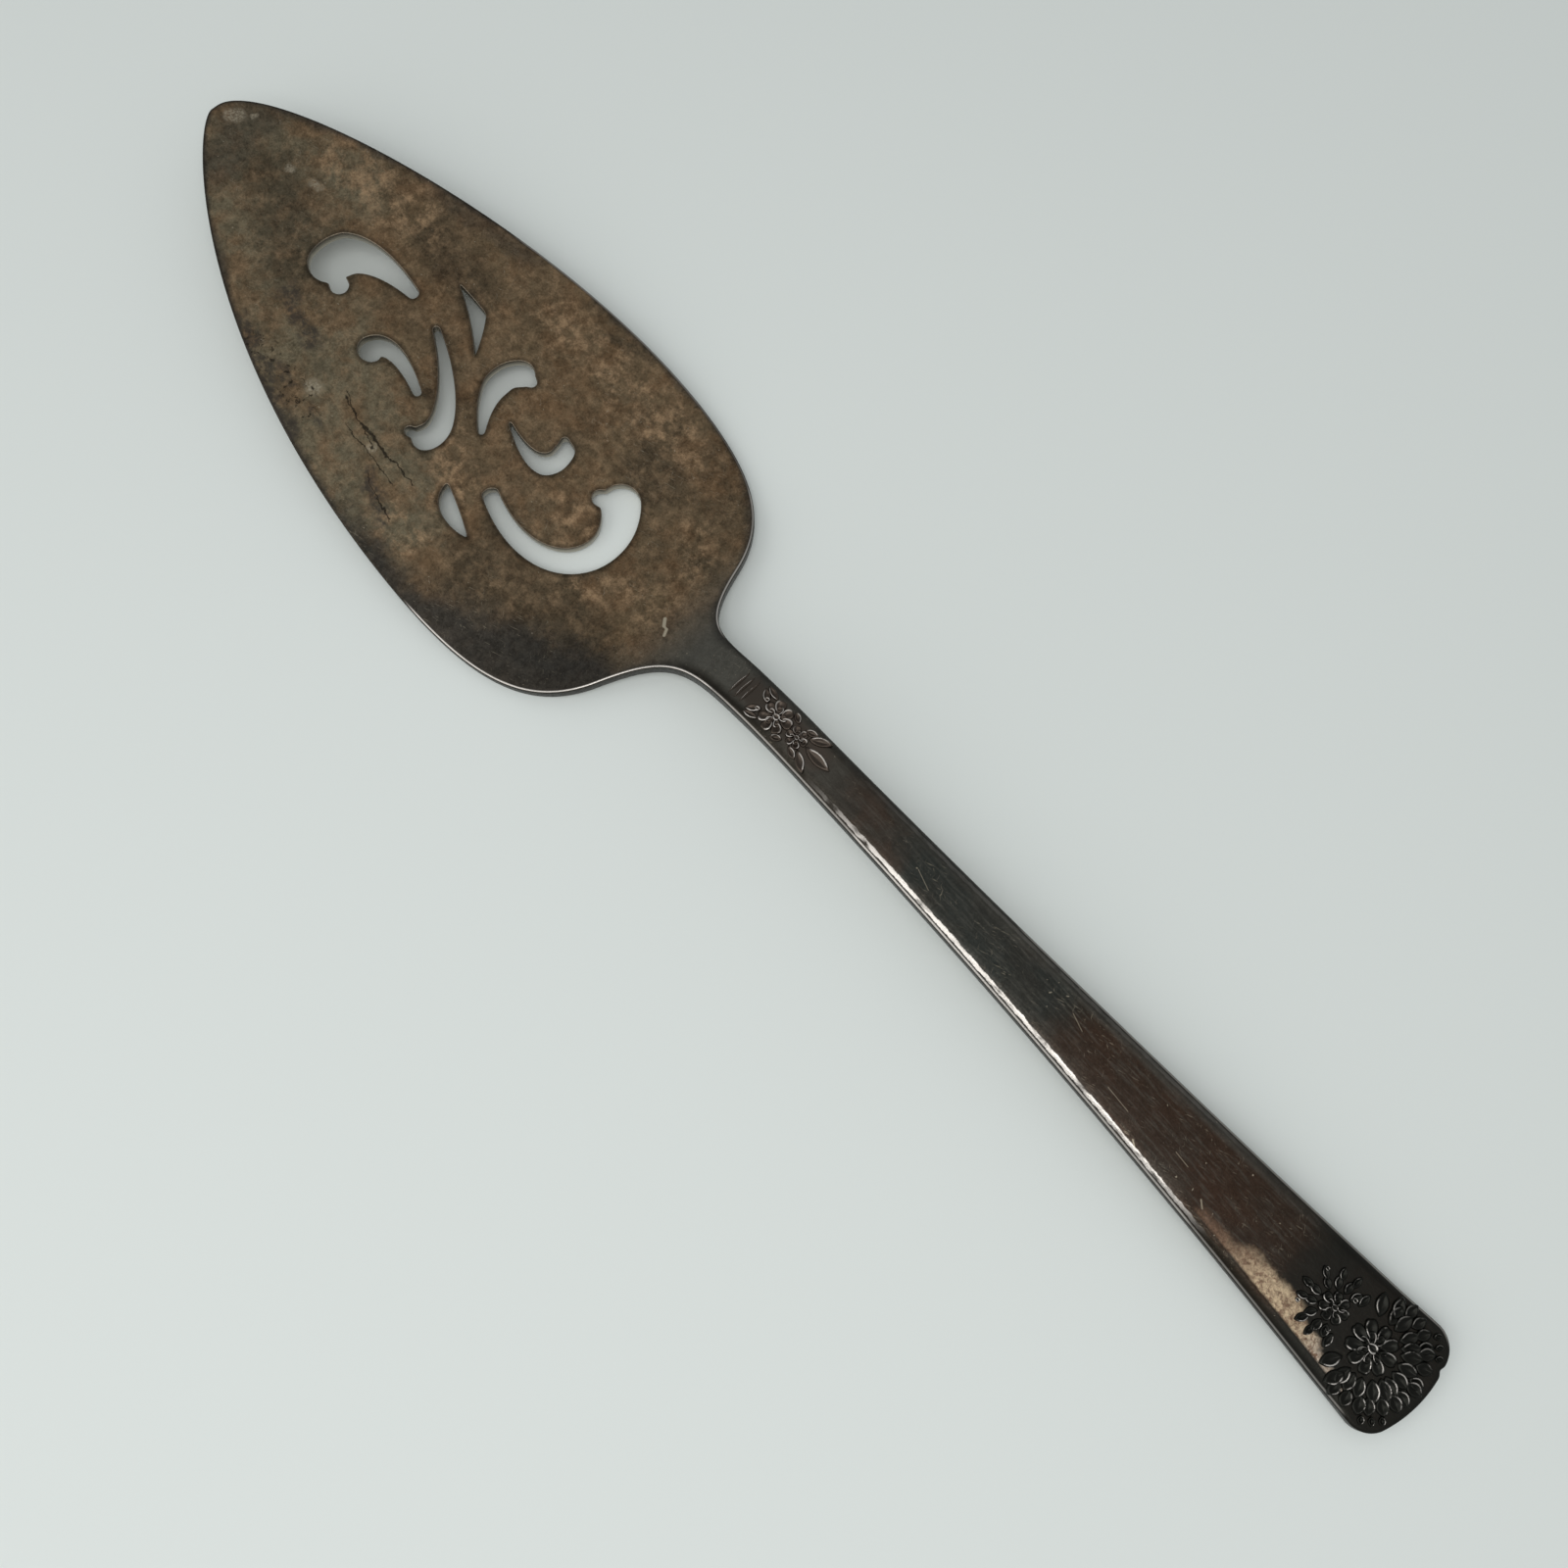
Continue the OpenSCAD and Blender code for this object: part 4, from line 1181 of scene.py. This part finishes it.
def worn_edges_and_highlights(tree, at):
    """Thin bright lines on the rims, partly worn metal and partly painted highlight, and a jagged
    painted highlight on the band along the handle's -Y side
    """
    jitter = blotches(tree, at.place, 1.2, 0.2, 0.8, detail=4, offset=70)
    jagged = add(tree, "ShaderNodeMath", {0: jitter, 1: 0.2, 2: at.edge},
                 operation="MULTIPLY_ADD").outputs[0]
    # Thin bright lines on the rims: partly worn metal, partly painted highlight
    thin = combined(tree, "MAXIMUM", zone(tree, at.place, BRIGHT_RIMS),
                    combined(tree, "MULTIPLY", zone(tree, at.place, PALE_RIMS), 0.5))
    thin = combined(tree, "MULTIPLY", thin, between(tree, at.edge, 0.05, 0.18, 0.22, 0.4), 0.75)
    faint = combined(tree, "MULTIPLY", between(tree, at.edge, 0.2, 0.27, 0.3, 0.38), 0.35)
    # Painted highlight: a jagged bright strip about 0.6 to 1.2 mm inside the handle's -Y edge,
    # where the window lamp's reflection falls
    strip = combined(tree, "MAXIMUM", between(tree, jagged, 0.58, 0.68, 1.05, 1.22), faint)
    strip = combined(tree, "MULTIPLY", strip, between(tree, at.x, 12, 34, 82, 94), at.one_side)
    uneven_highlight = hairlines(tree, at.place, 0, 0.9, 0.25, 0.55, longer=3, detail=4, offset=90)
    return combined(tree, "MAXIMUM", thin, combined(tree, "MULTIPLY", strip, uneven_highlight))


def silver_material(finish):
    """Silver plate on nickel silver, stamped and buffed, then left to tarnish. Sulphide turns it
    brown on the blade and near black on the handle; worn edges stay bright. Painted highlights lie
    along the rims and the handle's -Y band, and painted light and shade across the handle."""
    material, tree = new_material("tarnished_silver_plate")
    at = silver_places(tree)

    # From the blade over the neck to the handle
    to_neck = add(tree, "ShaderNodeMapRange", {0: at.x, 1: -22, 2: -11},
                  interpolation_type="SMOOTHSTEP").outputs[0]
    to_handle = add(tree, "ShaderNodeMapRange", {0: at.x, 1: 2, 2: 22},
                    interpolation_type="SMOOTHSTEP").outputs[0]
    now = coats(tree, blade_colour(tree, finish, at), (finish.neck_grey, to_neck),
                (handle_colour(tree, finish, at), to_handle))
    now = edge_tarnish_and_shade(tree, finish, at, now)

    # Mottle and fine grain, strong on the blade and weak on the handle
    mottle = blotches(tree, at.nearly, 1.3, 0.35, 0.65, detail=5, roughness=0.68, offset=170)
    grain = blotches(tree, at.place, 0.35, 0.3, 0.72, detail=3, roughness=0.7, offset=80)
    both = add(tree, "ShaderNodeMath", {0: mottle, 1: grain}).outputs[0]
    shade = add(tree, "ShaderNodeMapRange", {0: both, 2: 2, 3: 1.68, 4: 0.6}).outputs[0]
    even = add(tree, "ShaderNodeMapRange", {0: both, 2: 2, 3: 1.2, 4: 0.8}).outputs[0]
    shade = add(tree, "ShaderNodeMix", {0: to_neck, 2: shade, 3: even}).outputs[0]
    now = add(tree, "ShaderNodeMix", {0: 1.0, 6: now, 7: shade}, data_type="RGBA",
              blend_type="MULTIPLY").outputs[2]

    now, dark = stains(tree, finish, at, now, grain)
    now = layer(tree, now, finish.speck, pale_marks(tree, at))
    now = flower_grounds(tree, finish, at, now, grain)
    # Worn edges and painted highlights, laid on in bare silver
    worn_and_glint = worn_edges_and_highlights(tree, at)
    now = coats(tree, now, (finish.bare_silver_and_highlight, worn_and_glint), (finish.clean_silver, at.clean))

    bright = combined(tree, "MAXIMUM", worn_and_glint, at.clean)
    dull = add(tree, "ShaderNodeMapRange", {0: grain, 3: 0.36, 4: 0.5}).outputs[0]
    rough = add(tree, "ShaderNodeMix", {0: bright, 2: dull, 3: 0.27}).outputs[0]
    relief = add(tree, "ShaderNodeMath", {0: both, 1: dark}, operation="SUBTRACT").outputs[0]
    bump = add(tree, "ShaderNodeBump",
               {"Height": relief, "Strength": 0.5, "Distance": 0.012 * MM}).outputs[0]
    shader = add(tree, "ShaderNodeBsdfPrincipled",
                 {"Base Color": now, "Metallic": 1.0, "Roughness": rough, "Normal": bump})
    add(tree, "ShaderNodeOutputMaterial", {"Surface": shader.outputs[0]})
    return material


# Operators

class PIESERVER_OT_body(bpy.types.Operator):
    """Make the blade and the handle as one closed mesh"""
    bl_idname = "pie_server.body"
    bl_label = "Make the body"

    def execute(self, context):
        scene = context.scene
        shape = Shape(read_sizes(scene.server_blade, scene.server_handle, scene.server_edges))
        body = bpy.data.objects.new("server_body", body_mesh(shape))
        scene.collection.objects.link(body)
        body.data.materials.append(silver_material(read_colours(scene.server_finish)))
        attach(body, "root")
        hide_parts(NODE)
        return {"FINISHED"}


class PIESERVER_OT_flowers(bpy.types.Operator):
    """Make the raised flowers at the neck and at the handle's end"""
    bl_idname = "pie_server.flowers"
    bl_label = "Make the flowers"

    def execute(self, context):
        scene = context.scene
        shape = Shape(read_sizes(scene.server_blade, scene.server_handle, scene.server_edges,
                                 scene.server_relief))
        material = flower_material(read_colours(scene.server_finish))
        tree = ring_tree()
        for name, make in (("flowers_neck", neck_flowers), ("flowers_end", end_flowers)):
            pieces = laid_on_face(make(shape, tree, material), shape)
            flowers = bpy.data.objects.new(name, raw_mesh(name, pieces))
            scene.collection.objects.link(flowers)
            flowers.data.materials.append(material)
            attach(flowers, "root")
            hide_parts(NODE)
        return {"FINISHED"}


class PIESERVER_OT_stage(bpy.types.Operator):
    """Make the floor, the soft light and the camera"""
    bl_idname = "pie_server.stage"
    bl_label = "Make the stage"

    def execute(self, context):
        scene = context.scene
        finish = read_colours(scene.server_finish)
        corners = [(x * FLOOR_HALF, y * FLOOR_HALF, 0)
                   for x, y in ((-1, -1), (1, -1), (1, 1), (-1, 1))]
        data = bpy.data.meshes.new("floor")
        data.from_pydata(corners, [], [(0, 1, 2, 3)])
        floor = bpy.data.objects.new("floor", data)
        scene.collection.objects.link(floor)
        material, tree = new_material("painted_board")
        shader = add(tree, "ShaderNodeBsdfPrincipled",
                     {"Base Color": finish.floor, "Roughness": 0.6})
        add(tree, "ShaderNodeOutputMaterial", {"Surface": shader.outputs[0]})
        data.materials.append(material)

        world = bpy.data.worlds.new("studio")
        world.use_nodes = True
        background = world.node_tree.nodes["Background"]
        background.inputs["Color"].default_value = ROOM_COLOUR
        background.inputs["Strength"].default_value = ROOM_STRENGTH
        scene.world = world

        # Camera: above the handle, leaning towards the blade
        camera_data = bpy.data.cameras.new("camera")
        camera_data.sensor_width = SENSOR_MM
        camera_data.lens = SENSOR_MM * FOCAL_PX / PICTURE_PX
        camera = bpy.data.objects.new("camera", camera_data)
        camera.location = CAMERA_PLACE
        turn = Matrix.Rotation(CAMERA_TURN, 4, "Z") @ Matrix.Rotation(CAMERA_TILT, 4, "X")
        camera.rotation_euler = turn.to_euler()
        scene.collection.objects.link(camera)
        scene.camera = camera

        # A wide window on the left of the picture, and a soft panel above and behind the camera
        picture = Matrix.Rotation(CAMERA_TURN, 3, "Z")
        for name, way, distance, height, width, watts in LAMPS:
            lamp_data = bpy.data.lights.new(name, "AREA")
            lamp_data.size = width
            lamp_data.energy = watts
            lamp = bpy.data.objects.new(name, lamp_data)
            aside = picture @ Vector((*way, 0)).normalized() * distance
            lamp.location = aside + Vector((0, 0, height))
            lamp.rotation_euler = (-lamp.location).to_track_quat("-Z", "Y").to_euler()
            scene.collection.objects.link(lamp)
        scene.view_settings.view_transform = "Standard"
        return {"FINISHED"}


class PIESERVER_PT_panel(bpy.types.Panel):
    """Lists the steps that make the server"""
    bl_label = "Pie server"
    bl_idname = "PIESERVER_PT_panel"
    bl_space_type = "VIEW_3D"
    bl_region_type = "UI"
    bl_category = "Pie server"

    def draw(self, context):
        for step in STEPS:
            self.layout.operator(step.bl_idname)
        for name, group in GROUPS.items():
            box = self.layout.box()
            box.label(text=group.__doc__)
            for field in group.__annotations__:
                box.prop(getattr(context.scene, name), field)


STEPS = (PIESERVER_OT_body, PIESERVER_OT_flowers, PIESERVER_OT_stage)
GROUPS = {
    "server_blade": BladeSizes,
    "server_handle": HandleSizes,
    "server_edges": EdgeSizes,
    "server_relief": ReliefSizes,
    "server_finish": Finish,
}


def register():
    for group in GROUPS.values():
        bpy.utils.register_class(group)
    for name, group in GROUPS.items():
        setattr(bpy.types.Scene, name, PointerProperty(type=group))
    for step in STEPS:
        bpy.utils.register_class(step)
    bpy.utils.register_class(PIESERVER_PT_panel)


def unregister():
    bpy.utils.unregister_class(PIESERVER_PT_panel)
    for step in reversed(STEPS):
        bpy.utils.unregister_class(step)
    for name, group in GROUPS.items():
        delattr(bpy.types.Scene, name)
        bpy.utils.unregister_class(group)


def main():
    register()
    bpy.ops.pie_server.body()
    bpy.ops.pie_server.flowers()
    bpy.ops.pie_server.stage()


if __name__ == "__main__":
    main()
